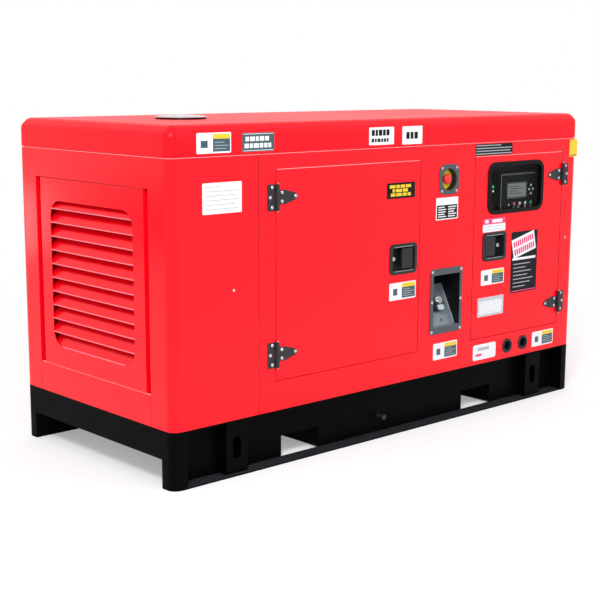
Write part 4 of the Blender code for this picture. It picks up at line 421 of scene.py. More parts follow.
print("skid, canopy and machinery")
plainDress = {
    "skid_rail_front": ("frontSkidRail", skidPaint, 0.0015),
    "skid_rail_back": ("backSkidRail", skidPaint, 0.0015),
    "skid_end_left": ("leftSkidEnd", skidPaint, 0.0015),
    "skid_end_right": ("rightSkidEnd", skidPaint, 0.0015),
    "fork_tunnel_left": ("leftForkTunnel", skidPaint, 0.001),
    "fork_tunnel_right": ("rightForkTunnel", skidPaint, 0.001),
    "fuel_tank": ("fuelTank", tankPaint, 0.004),
    "drain_pipe": ("drainPipe", hingePaint, 0.001),
    "engine_bearer": ("engineBearer", skidPaint, 0.0015),
    "left_end_frame": ("leftEndFrame", redPaint, 0.003),
    "left_lower_panel": ("leftLowerPanel", redPaint, 0.003),
    "front_panel": ("frontSidePanel", redPaint, 0.0028),
    "back_panel": ("backSidePanel", redPaint, 0.0028),
    "back_access_panel": ("backAccessPanel", redPaint, 0.002),
    "right_end_panel": ("rightEndPanel", redPaint, 0.0028),
    "engine_door": ("engineDoor", redPaint, 0.003),
    "control_door": ("controlDoor", redPaint, 0.003),
    "window_gasket": ("windowGasket", sealRubber, 0.0022),
    "window_pane": ("windowPane", smokedPane, 0.0004),
    "control_box": ("controlBox", controllerPlastic, 0.0008),
    "controller": ("controllerShell", controllerPlastic, 0.001),
    "key_stop": ("stopKey", keyRed, 0.0006),
    "key_manual": ("manualKey", keyPale, 0.0006),
    "key_auto": ("autoKey", keyPale, 0.0006),
    "key_start": ("startKey", keyGreen, 0.0006),
    "stop_stem": ("stopStem", hingePaint, 0.0005),
    "filler_pocket": ("fillerPocket", pocketPlastic, 0.001),
    "fuel_cap": ("fuelCap", hingePaint, 0.0015),
    "engine_block": ("engineBlock", engineEnamel, 0.004),
    "generator_shaft": ("generatorShaft", turnedSteel, 0.001),
    "generator_housing": ("generatorHousing", engineEnamel, 0.003),
    "cooling_fan": ("coolingFan", radiatorPaint, 0.001),
    "radiator": ("radiatorBody", radiatorPaint, 0.002),
    "muffler": ("mufflerShell", mufflerSkin, 0.003),
    "air_cleaner": ("airCleaner", radiatorPaint, 0.002),
    "battery": ("batteryCase", tankPaint, 0.003),
}
for node, (name, material, edge) in plainDress.items():
    dressNode(node, name, material, edge)

# painted light: the skid's upward flange faces take the grey for the light that falls on them
flange = {"top": 0.05, "tilt": 0.7}
for name in ("frontSkidRail", "backSkidRail", "leftSkidEnd", "rightSkidEnd"):
    paintFaces(name, [flangeTopLightPaint],
               lambda centre, normal: normal.z > flange["tilt"] and centre.z < flange["top"])

joint = {"deep": 0.03, "tilt": 0.8, "clearOfCorner": 0.1}


def isJointWall(centre, normal):
    # a sheet's cut edge that looks sideways or down into a joint of the front
    return ((abs(normal.x) > joint["tilt"] or normal.z < -joint["tilt"])
            and centre.y < frontY + joint["deep"] and centre.x > leftX + joint["clearOfCorner"])


# painted shade: the joint walls take the deep red-black so that each joint reads dark
for name in ("leftEndFrame", "frontSidePanel", "engineDoor", "controlDoor"):
    paintFaces(name, [jointShadePaint], isJointWall)

roof = {"chamfer": 0.027, "round": 0.011, "segments": 4, "edge": 0.002, "level": 0.0002,
        "endsFrom": 1.0, "sidesFrom": 0.40}


def isRoofFold(a, b):
    # the level edges at the chamfer's foot, and those at its top that run round the roof
    def at(height):
        return abs(a.z - height) < roof["level"] and abs(a.z - b.z) < roof["level"]

    outer = min(abs(a.x), abs(b.x)) > roof["endsFrom"] or min(abs(a.y), abs(b.y)) > roof["sidesFrom"]
    return at(roofZ - roof["chamfer"]) or (at(roofZ) and outer)


roofPiece = dressNode("roof_panel", "roofPanel", roofPaint, 0)
bevelEdges(roofPiece, isRoofFold, roof["round"], roof["segments"])
roundEdges(roofPiece, roof["edge"], 3)
smoothOut(roofPiece)

print("tray edge strips")
# painted shade: dark rubber strips stand in the gaps beside each louvre tray, for the shade deep in the gap
tray = {"wall": 0.0020, "gap": 0.0260, "outside": 0.020, "inside": 0.0035, "end": 0.002, "clear": 0.0001,
        "edge": 0.0004}
for side, word, out in (("left", "outlet", -1), ("right", "inlet", 1)):
    low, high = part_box(f"louvre_panel_{side}")
    ends = tray["outside"], tray["inside"]
    fromLeft, fromRight = ends if out < 0 else ends[::-1]
    thin = tray["wall"] - tray["clear"]
    strips = [addBlock((low.x + fromLeft, lowY, low.z + tray["end"]),
                       (high.x - fromRight, lowY + thin, high.z - tray["end"]))
              for lowY in (low.y + tray["gap"] - tray["wall"], high.y - tray["gap"] + tray["clear"])]
    strip = joinUp(strips)
    roundEdges(strip, tray["edge"])
    finishPiece(strip, f"{word}TrayEdge", "canopy", sealRubber)

print("sealant beads")
# the pale beads along the roof seam, the left end's joints and the door tops are a painted highlight, the light
# caught on the panels' top edges
bead = {"corner": 0.036, "back": 0.0046, "face": 0.0004, "below": 0.0015, "above": 0.0012, "rightEnd": 1.086,
        "doorLow": 0.0004, "doorHigh": 0.0026, "doorEnd": 0.004,
        "footFace": 0.0028, "footBack": 0.0060, "footEnd": 0.002, "footRise": 0.0002}
beadLow, beadHigh = seamZ - bead["below"], seamZ + bead["above"]
cornerX, cornerY = leftX + bead["corner"], frontY + bead["corner"]
trayFoot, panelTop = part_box("louvre_panel_left")[0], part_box("left_lower_panel")[1]
beadLines = [((cornerX, frontY + bead["face"], beadLow), (bead["rightEnd"], frontY + bead["back"], beadHigh)),
             ((leftX + bead["face"], cornerY, beadLow),
              (leftX + bead["back"], backY - bead["corner"], beadHigh)),
             ((leftX + bead["footFace"], trayFoot.y + bead["footEnd"], panelTop.z - bead["footRise"]),
              (leftX + bead["footBack"], -trayFoot.y - bead["footEnd"], trayFoot.z + bead["footRise"]))]
for node in ("engine_door", "control_door"):
    low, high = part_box(node)
    beadLines.append(((low.x + bead["doorEnd"], frontY + bead["face"], high.z + bead["doorLow"]),
                      (high.x - bead["doorEnd"], frontY + bead["back"], high.z + bead["doorHigh"])))
# the bead turns the front left corner as a quarter of a ring
turnOuter, turnInner = bead["corner"] - bead["face"] * 2, bead["corner"] - bead["back"]
cornerBead = turnProfile([(turnInner, -bead["below"]), (turnOuter, -bead["below"]),
                          (turnOuter, bead["above"]), (turnInner, bead["above"])],
                         (cornerX, cornerY, seamZ), upward, 48, ring=True)
shapeWith(cornerBead, addBlock((cornerX - bead["corner"] * 2, cornerY - bead["corner"] * 2, seamZ - 0.01),
                               (cornerX, cornerY, seamZ + 0.01)), "INTERSECT")
finishPiece(joinUp([cornerBead] + [addBlock(low, high) for low, high in beadLines]), "seamBeads", "canopy",
            seamHighlightPaint)

print("louvre slats")
louvre = {"rise": 0.076, "pitch": 0.051, "slot": 0.029, "rows": 11, "corner": 0.060, "wall": 0.026,
          "side": 0.064, "reach": 0.06, "edge": 0.0015, "lean": 0.028, "lift": 0.040, "behind": 0.012,
          "sheet": 0.0016, "seat": 0.0024, "proud": 0.0006, "deep": 0.0030, "below": 0.0030, "above": 0.0010,
          "round": 0.0013, "lipEnd": 0.0005}
slatLean = math.atan2(louvre["lean"], louvre["lift"])
slatLength = math.hypot(louvre["lean"], louvre["lift"])
for side, word, out in (("left", "outlet", -1), ("right", "inlet", 1)):
    low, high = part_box(f"louvre_panel_{side}")
    face = low.x if out < 0 else high.x
    half = (high.y - low.y) / 2 - louvre["wall"] - louvre["side"]
    first = low.z + louvre["rise"]
    last = first + louvre["pitch"] * (louvre["rows"] - 1) + louvre["slot"]
    windows = [roundedBlock((face - louvre["reach"], -half - grow, first - grow),
                            (face + louvre["reach"], half + grow, last + grow), "X",
                            louvre["corner"] + grow, 12) for grow in (0, louvre["behind"])]
    dressNode(f"louvre_panel_{side}", f"{word}Louvres", redPaint, louvre["edge"], windows[0])
    slats, lips = [], []
    for row in range(louvre["rows"]):
        z = first + louvre["pitch"] * row
        slat = addBlock((-louvre["sheet"] / 2, -half - louvre["behind"], 0),
                        (louvre["sheet"] / 2, half + louvre["behind"], slatLength))
        slat.rotation_euler = (0, -out * slatLean, 0)
        slat.location = (face - out * louvre["seat"], 0, z)
        applyPlace(slat)
        slats.append(slat)
        # a lip near the opening's rounded corners is shorter, by the circle's own sum
        intoCorner = max(louvre["corner"] - min(z - first, last - z), 0)
        cornerReach = math.sqrt(louvre["corner"] ** 2 - intoCorner ** 2)
        reach = half - louvre["corner"] + cornerReach - louvre["lipEnd"]
        lipBack, lipFront = sorted((face + out * louvre["proud"], face - out * louvre["deep"]))
        lips.append(roundedBlock((lipBack, -reach, z - louvre["below"]),
                                 (lipFront, reach, z + louvre["above"]), "Y", louvre["round"], 4))
    sheets = joinUp(slats)
    shapeWith(sheets, windows[1], "INTERSECT")
    finishPiece(sheets, f"{word}LouvreSlats", "canopy", redPaint)
    # the lips' pale pink is a painted highlight along each slat's top edge
    finishPiece(joinUp(lips), f"{word}LouvreLips", "canopy", louvreLipHighlightPaint)

print("screws and rivets")
# one pan head with a cross recess, turned about +Z with its seat at the origin
# its profile and the recess's width, reach and depth are given in parts of the head's radius and height
screw = {"profile": [(1.0, 0), (1.0, 0.35), (0.86, 0.75), (0.55, 0.96), (0.2, 1.0)], "segments": 20,
         "slot": 0.2, "reach": 0.61538, "depth": 0.5625}


def panHead(radius, height):
    head = turnProfile([(radius * r, height * h) for r, h in screw["profile"]], segments=screw["segments"])
    low, high = height * (1 - screw["depth"]), height * 2
    slot, reach = screw["slot"] * radius / 2, screw["reach"] * radius
    cutWith(head, addBlock((-reach, -slot, low), (reach, slot, high)),
            addBlock((-slot, -reach, low), (slot, reach, high)))
    return head


def placeHeads(name, places, outward, size, body, material=None):
    # places are the points that the heads' seats stand on, and size is a head's radius and height
    pattern = panHead(*size)
    turnTo(pattern, outward)
    applyPlace(pattern)
    heads = [copyTo(pattern, place) for place in places]
    bpy.data.objects.remove(pattern, do_unlink=True)
    return finishPiece(joinUp(heads), name, body, material or zincPlate)


rivets = {"head": (0.005, 0.002), "places": [(-0.835, 0.661), (1.032, 0.688)]}
placeHeads("sideRivets", [(x, frontY, z) for x, z in rivets["places"]], front, rivets["head"], "canopy")

print("hinges and latches")
hinge = {
    "leafScrews": [(-0.021, 0.036), (-0.030, 0.001), (-0.021, -0.034)],
    "strapScrews": [(0.024, 0.016), (0.024, -0.015), (0.088, 0.001)],
    "screw": (0.0062, 0.0028), "plate": 0.003, "edge": 0.001,
    "knuckle": 0.007, "pinRadius": 0.0042, "pinCap": 0.0030,
}
latch = {
    "cup": (latchPaint, 0.0018), "paddle": (latchPaint, 0.0014), "bolt": (zincPlate, 0.0008),
    "lipSide": 0.024, "lip": 0.0016, "lipInset": 0.0115, "lipProud": 0.0004, "lipDeep": 0.0012,
    "lockRadius": 0.0087, "lockEdge": 0.001, "lockRim": 0.003, "lockStep": 0.0006,
    "slotWidth": 0.002, "slotHeight": 0.010, "slotDeep": 0.004,
}
for door, word, hand in (("engine_door", "engine", 1), ("control_door", "control", -1)):
    doorBody = bodyOf[door]
    for level in ("upper", "lower"):
        leafLow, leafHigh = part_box(f"{door}_{level}_hinge_leaf")
        strapLow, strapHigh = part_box(f"{door}_{level}_hinge_strap")
        pinX = strapLow.x + hinge["knuckle"] if hand > 0 else strapHigh.x - hinge["knuckle"]
        pinY = leafLow.y + hinge["knuckle"]
        middleZ = (leafLow.z + leafHigh.z) / 2
        seatY = leafHigh.y - hinge["plate"]
        title = f"{word}{level.title()}Hinge"
        for part in ("leaf", "strap"):
            dressNode(f"{door}_{level}_hinge_{part}", f"{title}{part.title()}", hingePaint, hinge["edge"])
        for part, body in (("leaf", "canopy"), ("strap", doorBody)):
            placeHeads(f"{title}{part.title()}Screws",
                       [(pinX + hand * x, seatY, middleZ + z) for x, z in hinge[f"{part}Screws"]],
                       front, hinge["screw"], body)
        caps = [turnProfile([(hinge["pinRadius"], 0), (hinge["pinRadius"], hinge["pinCap"] * 0.6),
                             (hinge["pinRadius"] * 0.6, hinge["pinCap"])], (pinX, pinY, z), (0, 0, side), 20)
                for z, side in ((leafHigh.z, 1), (leafLow.z, -1))]
        finishPiece(joinUp(caps), f"{title}PinCaps", "canopy", zincPlate)
    for part in ("cup", "paddle", "bolt"):
        dressNode(f"{door}_latch_{part}", f"{word}Latch{part.title()}", *latch[part])
    cupLow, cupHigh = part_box(f"{door}_latch_cup")
    # painted highlight: a bright bar along each cup's lips for the light caught on their edges
    lips = [addBlock((cupLow.x + latch["lipSide"], cupLow.y - latch["lipProud"], z),
                     (cupHigh.x - latch["lipSide"], cupLow.y + latch["lipDeep"], z + latch["lip"]))
            for z in (cupLow.z + latch["lipInset"], cupHigh.z - latch["lipInset"] - latch["lip"])]
    lip = joinUp(lips)
    roundEdges(lip, latch["lip"] / 4)
    finishPiece(lip, f"{word}LatchLips", doorBody, latchLipHighlightPaint)
    lockLow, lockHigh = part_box(f"{door}_latch_lock")
    lockX, lockZ = (lockLow.x + lockHigh.x) / 2, (lockLow.z + lockHigh.z) / 2
    radius, bevel, deep = latch["lockRadius"], latch["lockEdge"], lockHigh.y - lockLow.y
    inner = radius - latch["lockRim"]
    barrel = turnProfile([(radius, 0), (radius, deep - bevel), (radius - bevel, deep), (inner, deep),
                          (inner - bevel / 2, deep - latch["lockStep"])],
                         (lockX, lockHigh.y, lockZ), front, 36)
    slotX, slotZ = latch["slotWidth"] / 2, latch["slotHeight"] / 2
    cutWith(barrel, addBlock((lockX - slotX, lockLow.y - latch["slotDeep"] / 2, lockZ - slotZ),
                             (lockX + slotX, lockLow.y + latch["slotDeep"], lockZ + slotZ)))
    finishPiece(barrel, f"{word}LatchLock", bodyOf[f"{door}_latch_lock"], zincPlate,
                [f"{door}_latch_lock"])

print("stop button")
# the head's foot is given in parts of its width and metres from its seat, and its crown and the cup's
# rim in metres below their fronts
stop = {
    "plateCorner": 0.030, "plate": 0.003, "plateEdge": 0.0008,
    "cupRadius": 0.044, "cupWall": 0.002, "cupBore": 0.014,
    "cupRim": [(0.044, -0.0002), (0.0433, 0.0), (0.0424, 0.0), (0.042, -0.0006)],
    "discRadius": 0.0405, "discThickness": 0.009, "discBore": 0.0125, "discLift": 0.0002, "discEdge": 0.001,
    "headFoot": [(0.30, 0.0), (0.40, 0.0004), (0.475, 0.0018), (0.5, 0.0046), (0.495, 0.0080),
                 (0.455, 0.0112)],
    "headCrown": [(0.37, -0.0018), (0.24, -0.0004), (0.10, 0.0)],
    "screwInset": 0.0145, "screw": (0.0052, 0.0022), "screwSink": 0.0004,
}
guardLow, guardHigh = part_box("stop_guard")
headLow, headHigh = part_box("stop_head")
stopX, stopZ = (headLow.x + headHigh.x) / 2, (headLow.z + headHigh.z) / 2
plateBack = guardLow.y + stop["plate"]
guard = roundedBlock(guardLow, (guardHigh.x, plateBack, guardHigh.z), "Y", stop["plateCorner"], 8)
roundEdges(guard, stop["plateEdge"])
wall, bore = stop["cupWall"], stop["cupBore"]
outer, inner = stop["cupRadius"], stop["cupRadius"] - wall
cutWith(guard, turnProfile([(inner, -0.01), (inner, 0.02)], (stopX, plateBack, stopZ), front, 64))
cup = turnProfile([(bore, 0.0), (outer, 0.0), *atHeight(guardHigh.y - guardLow.y, stop["cupRim"]),
                   (inner, wall), (bore, wall)], (stopX, guardHigh.y, stopZ), front, 64, ring=True)
finishPiece(guard, "stopGuardPlate", "canopy", pocketPlastic, ["stop_guard"])
finishPiece(cup, "stopGuardCup", "canopy", latchPaint, ["stop_guard"])
radius, thick, edge, bore = stop["discRadius"], stop["discThickness"], stop["discEdge"], stop["discBore"]
disc = turnProfile([(bore, 0.0), (radius, 0.0), (radius, thick - edge), (radius - edge, thick),
                    (bore, thick)], (stopX, guardHigh.y - wall - stop["discLift"], stopZ), front, 64, ring=True)
finishPiece(disc, "stopWarningDisc", "canopy", buttonYellow)
headSteps = stop["headFoot"] + atHeight(headHigh.y - headLow.y, stop["headCrown"])
mushroom = turnProfile([((headHigh.x - headLow.x) * part, height) for part, height in headSteps],
                       (stopX, headHigh.y, stopZ), front, 56)
finishPiece(mushroom, "stopMushroomHead", bodyOf["stop_head"], buttonRed, ["stop_head"])
inset = stop["screwInset"]
placeHeads("stopGuardScrews",
           product((guardLow.x + inset, guardHigh.x - inset), [guardLow.y + stop["screwSink"]],
                   (guardLow.z + inset, guardHigh.z - inset)), front, stop["screw"], "canopy")

print("fuel filler")
# the floor is given by its slope's foot and top, and the points on it by the way up from its foot
filler = {
    "sideInset": 0.009, "endInset": 0.011, "screw": (0.0062, 0.0026), "screwSink": 0.0004,
    "flange": 0.0015, "floorTilt": 0.2, "wallTilt": 0.5,
    "foot": 0.020, "deep": 0.097, "sill": 0.026, "rise": 0.155, "seatUp": 0.085, "capTop": 0.024,
    "rib": 0.003, "ribSide": 0.016, "ribFrom": 0.002, "ribShort": 0.003, "ribSink": 0.001, "ribRound": 0.0008,
    "drainUp": 0.022, "drainAside": 0.010, "drainScrew": (0.006, 0.002),
    "ringProfile": [(0.0215, -0.0022), (0.0288, -0.0022), (0.0288, 0.0006), (0.0270, 0.0018),
                    (0.0215, 0.0018)],
}
pocketLow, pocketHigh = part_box("filler_pocket")
pocketX, pocketZ = (pocketLow.x + pocketHigh.x) / 2, (pocketLow.z + pocketHigh.z) / 2


def pocketLightAndShade(centre, normal):
    # the flange keeps its grey; the sloping floor is painted pale as painted light, and the walls and ceiling
    # round it are painted dark as painted shade
    if centre.y <= frontY + filler["flange"]:
        return 0
    return 1 if normal.z > filler["floorTilt"] and normal.y < filler["wallTilt"] else 2


paintFaces("fillerPocket", [pocketFloorLightPaint, pocketWallShadePaint], pocketLightAndShade)
placeHeads("fillerFlangeScrews",
           product((pocketLow.x + filler["sideInset"], pocketHigh.x - filler["sideInset"]),
                   [pocketLow.y + filler["screwSink"]],
                   (pocketLow.z + filler["endInset"], pocketZ, pocketHigh.z - filler["endInset"])),
           front, filler["screw"], "canopy")

floorRun = filler["deep"] - filler["foot"]
along = Vector((0, floorRun, filler["rise"])).normalized()
floorOut = Vector((0, -along.z, along.y))
floorFoot = Vector((pocketX, frontY + filler["foot"], pocketLow.z + filler["sill"]))
floorTurn = Matrix((Vector((1, 0, 0)), along, floorOut)).transposed().to_4x4()


def layOnFloor(piece, point):
    # a piece made flat, with Y up the slope and Z out of it, is laid at a point of the floor
    piece.data.transform(Matrix.Translation(point) @ floorTurn)
    return piece


ribLength = math.hypot(floorRun, filler["rise"]) - filler["ribShort"]
ribs = []
for side in (-1, 1):
    edge = side * ((pocketHigh.x - pocketLow.x) / 2 - filler["ribSide"])
    ribLeft, ribRight = sorted((edge, edge - side * filler["rib"]))
    rib = roundedBlock((ribLeft, filler["ribFrom"], -filler["ribSink"]), (ribRight, ribLength, filler["rib"]),
                       "Y", filler["ribRound"], 2)
    ribs.append(layOnFloor(rib, floorFoot))
# the ribs are painted pale as a highlight along the floor's ridges
finishPiece(joinUp(ribs), "fillerFloorRibs", "canopy", plasticEdgeHighlightPaint)
drainPoint = floorFoot + along * filler["drainUp"] + Vector((filler["drainAside"], 0, 0))
placeHeads("fillerDrainScrew", [drainPoint], floorOut, filler["drainScrew"], "canopy", pocketPlastic)
faceSeat = floorFoot + along * filler["seatUp"] + floorOut * filler["capTop"]
capBody = bodyOf["fuel_cap"]
collar = turnProfile(filler["ringProfile"], faceSeat, floorOut, 48, ring=True)
finishPiece(collar, "capRing", capBody, latchPaint)
# the flap that covers the cap's lock, and the lock through it
flap = {"half": 0.0175, "reach": 0.0275, "corner": 0.010, "top": 0.0065, "sink": 0.0006, "edge": 0.0009,
        "lockUp": 0.0085, "lockRadius": 0.0112, "lockTop": 0.0112, "lockEdge": 0.001, "lockRim": 0.0034,
        "keyWidth": 0.0022, "keyHeight": 0.011, "keyDeep": 0.003}
cover = roundedBlock((-flap["half"], -flap["reach"], -flap["sink"]),
                     (flap["half"], flap["reach"], flap["top"]), "Z", flap["corner"], 6)
roundEdges(cover, flap["edge"])
finishPiece(layOnFloor(cover, faceSeat), "capFlap", capBody, castZinc)
lockSeat = faceSeat + along * flap["lockUp"]
radius, top, edge, rim = flap["lockRadius"], flap["lockTop"], flap["lockEdge"], flap["lockRim"]
plug = turnProfile([(radius, flap["top"] - 0.0008), (radius, top - edge), (radius - edge, top),
                    (radius - rim, top), (radius - rim - 0.0008, top - edge)], lockSeat, floorOut, 40)
keyway = addBlock((-flap["keyWidth"] / 2, -flap["keyHeight"] / 2, top - flap["keyDeep"]),
                  (flap["keyWidth"] / 2, flap["keyHeight"] / 2, top + flap["keyDeep"]))
cutWith(plug, layOnFloor(keyway, lockSeat))
finishPiece(plug, "capLockFace", capBody, turnedSteel)

print("cable outlets and roof lid")
# the grommet's neck runs through the sheet, its foot stands on the sheet and its lip turns into the bore
outlet = {"bore": 0.0195, "neck": 0.0258, "foot": [(0.0304, 0.0), (0.031, 0.001), (0.0304, 0.0032)],
          "lip": [(0.028, -0.0006), (0.025, 0.0), (0.0225, -0.0006), (0.0195, -0.0035)]}
for side in ("left", "right"):
    low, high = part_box(f"outlet_grommet_{side}")
    seat = high.y - frontY
    ring = turnProfile([(outlet["neck"], 0.0), (outlet["neck"], seat), *atHeight(seat, outlet["foot"]),
                        *atHeight(high.y - low.y, outlet["lip"]), (outlet["bore"], 0.0)],
                       ((low.x + high.x) / 2, high.y, (low.z + high.z) / 2), front, 48, ring=True)
    finishPiece(ring, f"{side}CableGrommet", "canopy", latchPaint, [f"outlet_grommet_{side}"])

# the rim is given by its inset and its height over the seat, and the crown by parts of the radius
lid = {"lift": 0.0003, "seal": 0.0062, "sealRadius": 0.0925, "sealBulge": 0.0012, "sealBore": 0.75,
       "rim": [(0.0040, 0.0062), (0.0006, 0.0062), (0.0, 0.0068), (0.0, 0.0080), (0.0010, 0.0090),
               (0.0045, 0.0099)], "shoulder": (0.80, 0.0118),
       "crown": [(0.5, -0.0018), (0.25, -0.0006), (0.08, 0.0)], "segments": 72,
       "pivotRadius": 0.005, "pivotEdge": 0.001, "pivotBack": 0.082}
lidLow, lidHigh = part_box("roof_lid")
lidX, lidY, lidR = (lidLow.x + lidHigh.x) / 2, (lidLow.y + lidHigh.y) / 2, (lidHigh.x - lidLow.x) / 2
seat, fold = roofZ + lid["lift"], roofZ + lid["lift"] + lid["seal"]
crown = atHeight(seat, [lid["shoulder"]]) + atHeight(lidHigh.z, lid["crown"])
cover = turnProfile([(lidR - inset, height) for inset, height in atHeight(seat, lid["rim"])]
                    + [(lidR * part, height) for part, height in crown], (lidX, lidY, 0), upward,
                    lid["segments"])
finishPiece(cover, "lidCover", bodyOf["roof_lid"], lidAluminium, ["roof_lid"])
sealTop, bore, radius, bulge = fold - 0.0001, lidR * lid["sealBore"], lid["sealRadius"], lid["sealBulge"]
gasket = turnProfile([(bore, seat), (radius, seat), (radius + bulge, seat + 0.0016), (radius, sealTop),
                      (bore, sealTop)], (lidX, lidY, 0), upward, lid["segments"], ring=True)
finishPiece(gasket, "lidSeal", bodyOf["roof_lid"], sealRubber)
radius, edge = lid["pivotRadius"], lid["pivotEdge"]
pivot = turnProfile([(radius - edge, lidLow.z), (radius, lidLow.z + edge), (radius, fold)],
                    (lidX, lidY + lid["pivotBack"], 0), upward, 24)
finishPiece(pivot, "lidPivot", bodyOf["roof_lid"], turnedSteel)

print("controller")
# places are left to right and up, in metres in the frame; rows are height and length of a line of print
control = {
    "screen": (0.664, 0.882, 0.785, 0.938), "frame": 0.006, "frameProud": 0.0016, "frameCorner": 0.004,
    "frameEdge": 0.0005, "glassProud": 0.0006, "sink": 0.0005,
    "rows": [(0.9265, 0.070), (0.9165, 0.094), (0.9065, 0.058), (0.8965, 0.082)],
    "rowStart": 0.010, "rowHalf": 0.0021, "rowProud": 0.0009, "rowRound": 0.0008,
    "arrows": [(0.820, 0.926), (0.808, 0.909), (0.834, 0.909), (0.820, 0.891)], "arrowRadius": 0.0048,
    "lamps": [(0.707, 0.8385, keyGreen), (0.738, 0.8385, keyPale), (0.783, 0.8385, keyPale),
              (0.821, 0.8385, keyRed), (0.674, 0.850, keyPale)], "lampRadius": 0.0042, "padSink": 0.0002,
    "edgeFrom": 0.004, "edgeWide": 0.0015, "edgeEnd": 0.006, "edgeProud": 0.0006, "edgeSink": 0.0003,
    "trimLow": 0.012, "trimHigh": 0.010, "trimProud": 0.0007,
}
shellLow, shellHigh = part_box("controller")
faceY = shellLow.y


def addPad(x, z, radius, seatY, height, rise, segments):
    # a round pad that narrows at its top, standing on a face of the front
    return turnProfile([(radius, 0.0), (radius, height), (radius * 0.7, height + rise)], (x, seatY, z),
                       front, segments)


x0, z0, x1, z1 = control["screen"]
rim = control["frame"]
bezel = roundedBlock((x0 - rim, faceY - control["frameProud"], z0 - rim), (x1 + rim, faceY + 0.001, z1 + rim),
                     "Y", control["frameCorner"], 4)
cutWith(bezel, addBlock((x0, faceY - 0.01, z0), (x1, faceY + 0.01, z1)))
roundEdges(bezel, control["frameEdge"])
finishPiece(bezel, "screenBezel", "canopy", pocketPlastic)
screen = addBlock((x0, faceY - control["glassProud"], z0), (x1, faceY + control["sink"], z1))
roundEdges(screen, 0.0002, 1)
finishPiece(screen, "controllerScreen", "canopy", screenGlass)
rowX = x0 + control["rowStart"]
rows = [roundedBlock((rowX, faceY - control["rowProud"], z - control["rowHalf"]),
                     (rowX + length, faceY - control["glassProud"], z + control["rowHalf"]),
                     "Y", control["rowRound"], 2) for z, length in control["rows"]]
finishPiece(joinUp(rows), "screenBars", "canopy", screenInk)
padSeat = faceY + control["padSink"]
arrows = [addPad(x, z, control["arrowRadius"], padSeat, 0.0010, 0.0006, 24) for x, z in control["arrows"]]
finishPiece(joinUp(arrows), "arrowKeys", "canopy", keyPale)
for index, (x, z, plastic) in enumerate(control["lamps"]):
    lampPiece = addPad(x, z, control["lampRadius"], padSeat, 0.0006, 0.0006, 20)
    finishPiece(lampPiece, f"controllerLamp{index + 1}", "canopy", plastic)

# printed marks on the window: name, place, radius, sides and ink
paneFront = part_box("window_pane")[0].y
windowMarks = [("windowGreenMark", 0.5320, 0.936, 0.0085, 3, keyGreen),
               ("windowWhiteDot", 0.5330, 0.918, 0.0042, 20, keyPale)]
for name, x, z, radius, sides, plastic in windowMarks:
    mark = turnProfile([(radius, 0.0), (radius, 0.0003)], (x, paneFront, z), front, sides)
    finishPiece(mark, name, bodyOf["control_door"], plastic)

# painted highlight: pale lines along the controller's left and top edges, for the light caught on them
edgeX, lineZ = shellLow.x + control["edgeFrom"], shellHigh.z - control["edgeEnd"]
edgeBack, wide = faceY + control["edgeSink"], control["edgeWide"]
edgeLines = [addBlock((edgeX, faceY - control["edgeProud"], shellLow.z + control["edgeEnd"]),
                      (edgeX + wide, edgeBack, lineZ)),
             addBlock((edgeX + wide, faceY - control["edgeProud"], lineZ - wide),
                      (shellHigh.x - control["edgeEnd"], edgeBack, lineZ))]
finishPiece(joinUp(edgeLines), "controllerEdgeLine", "canopy", plasticEdgeHighlightPaint)
trim = roundedBlock((shellLow.x + control["edgeEnd"], faceY - control["trimProud"],
                     shellHigh.z - control["trimLow"]),
                    (shellHigh.x - control["edgeEnd"], faceY + control["sink"],
                     shellHigh.z - control["trimHigh"]), "Y", control["rowRound"], 2)
finishPiece(trim, "controllerTrimLine", "canopy", pocketPlastic)

print("stickers")
# colours: w white, g grey, k black, y yellow, t slate blue, p magenta, s silver
inks = {"w": vinylWhite, "g": vinylGrey, "k": vinylBlack, "y": vinylYellow, "t": vinylTeal, "p": vinylPink,
        "s": plateSilver}
film = {"thickness": 0.0003, "ink": 0.00012, "sink": 0.0001, "corner": 0.004, "roundCorner": 0.010}


def addSticker(name, body, box, ground, marks):
    # box is left, low, right, high on the front; marks are boxes in parts of it, each with an ink
    left, low, right, high = box
    wide, tall = right - left, high - low
    corner = film["roundCorner"] if name.startswith("rounded") else film["corner"]
    base = roundedBlock((left, frontY - film["thickness"], low), (right, frontY + film["sink"], high), "Y",
                        corner, 4)
    base.data.materials.clear()
    base.data.materials.append(inks[ground])
    parts = [base]
    levels = []  # a mark that lies over others stands one film of ink higher than they do
    for u0, v0, u1, v1, ink in marks:
        under = [level for level, (a0, b0, a1, b1) in levels if u0 < a1 and a0 < u1 and v0 < b1 and b0 < v1]
        levels.append((max(under, default=0) + 1, (u0, v0, u1, v1)))
        skin = frontY - film["thickness"] - film["ink"] * levels[-1][0]
        mark = addBlock((left + u0 * wide, skin, low + v0 * tall),
                        (left + u1 * wide, frontY - film["sink"], low + v1 * tall))
        mark.data.materials.append(inks[ink])
        parts.append(mark)
    finishPiece(joinUp(parts), name, body, None)


def bars(count, low, high, left, right, ink, fill=0.5, ragged=(0,)):
    # a block of printed lines, without lettering
    pitch = (high - low) / count
    middles = [(low + pitch * (i + 0.5), right - ragged[i % len(ragged)]) for i in range(count)]
    return [(left, middle - pitch * fill / 2, end, middle + pitch * fill / 2, ink) for middle, end in middles]


def dashes(low, high, left, right, ink, lengths, gap=0.03):
    # one printed row of plain dashes, in parts of the sticker
    row, at = [], left
    for length in lengths:
        if at + length > right:
            break
        row.append((at, low, at + length, high, ink))
        at += length + gap
    return row


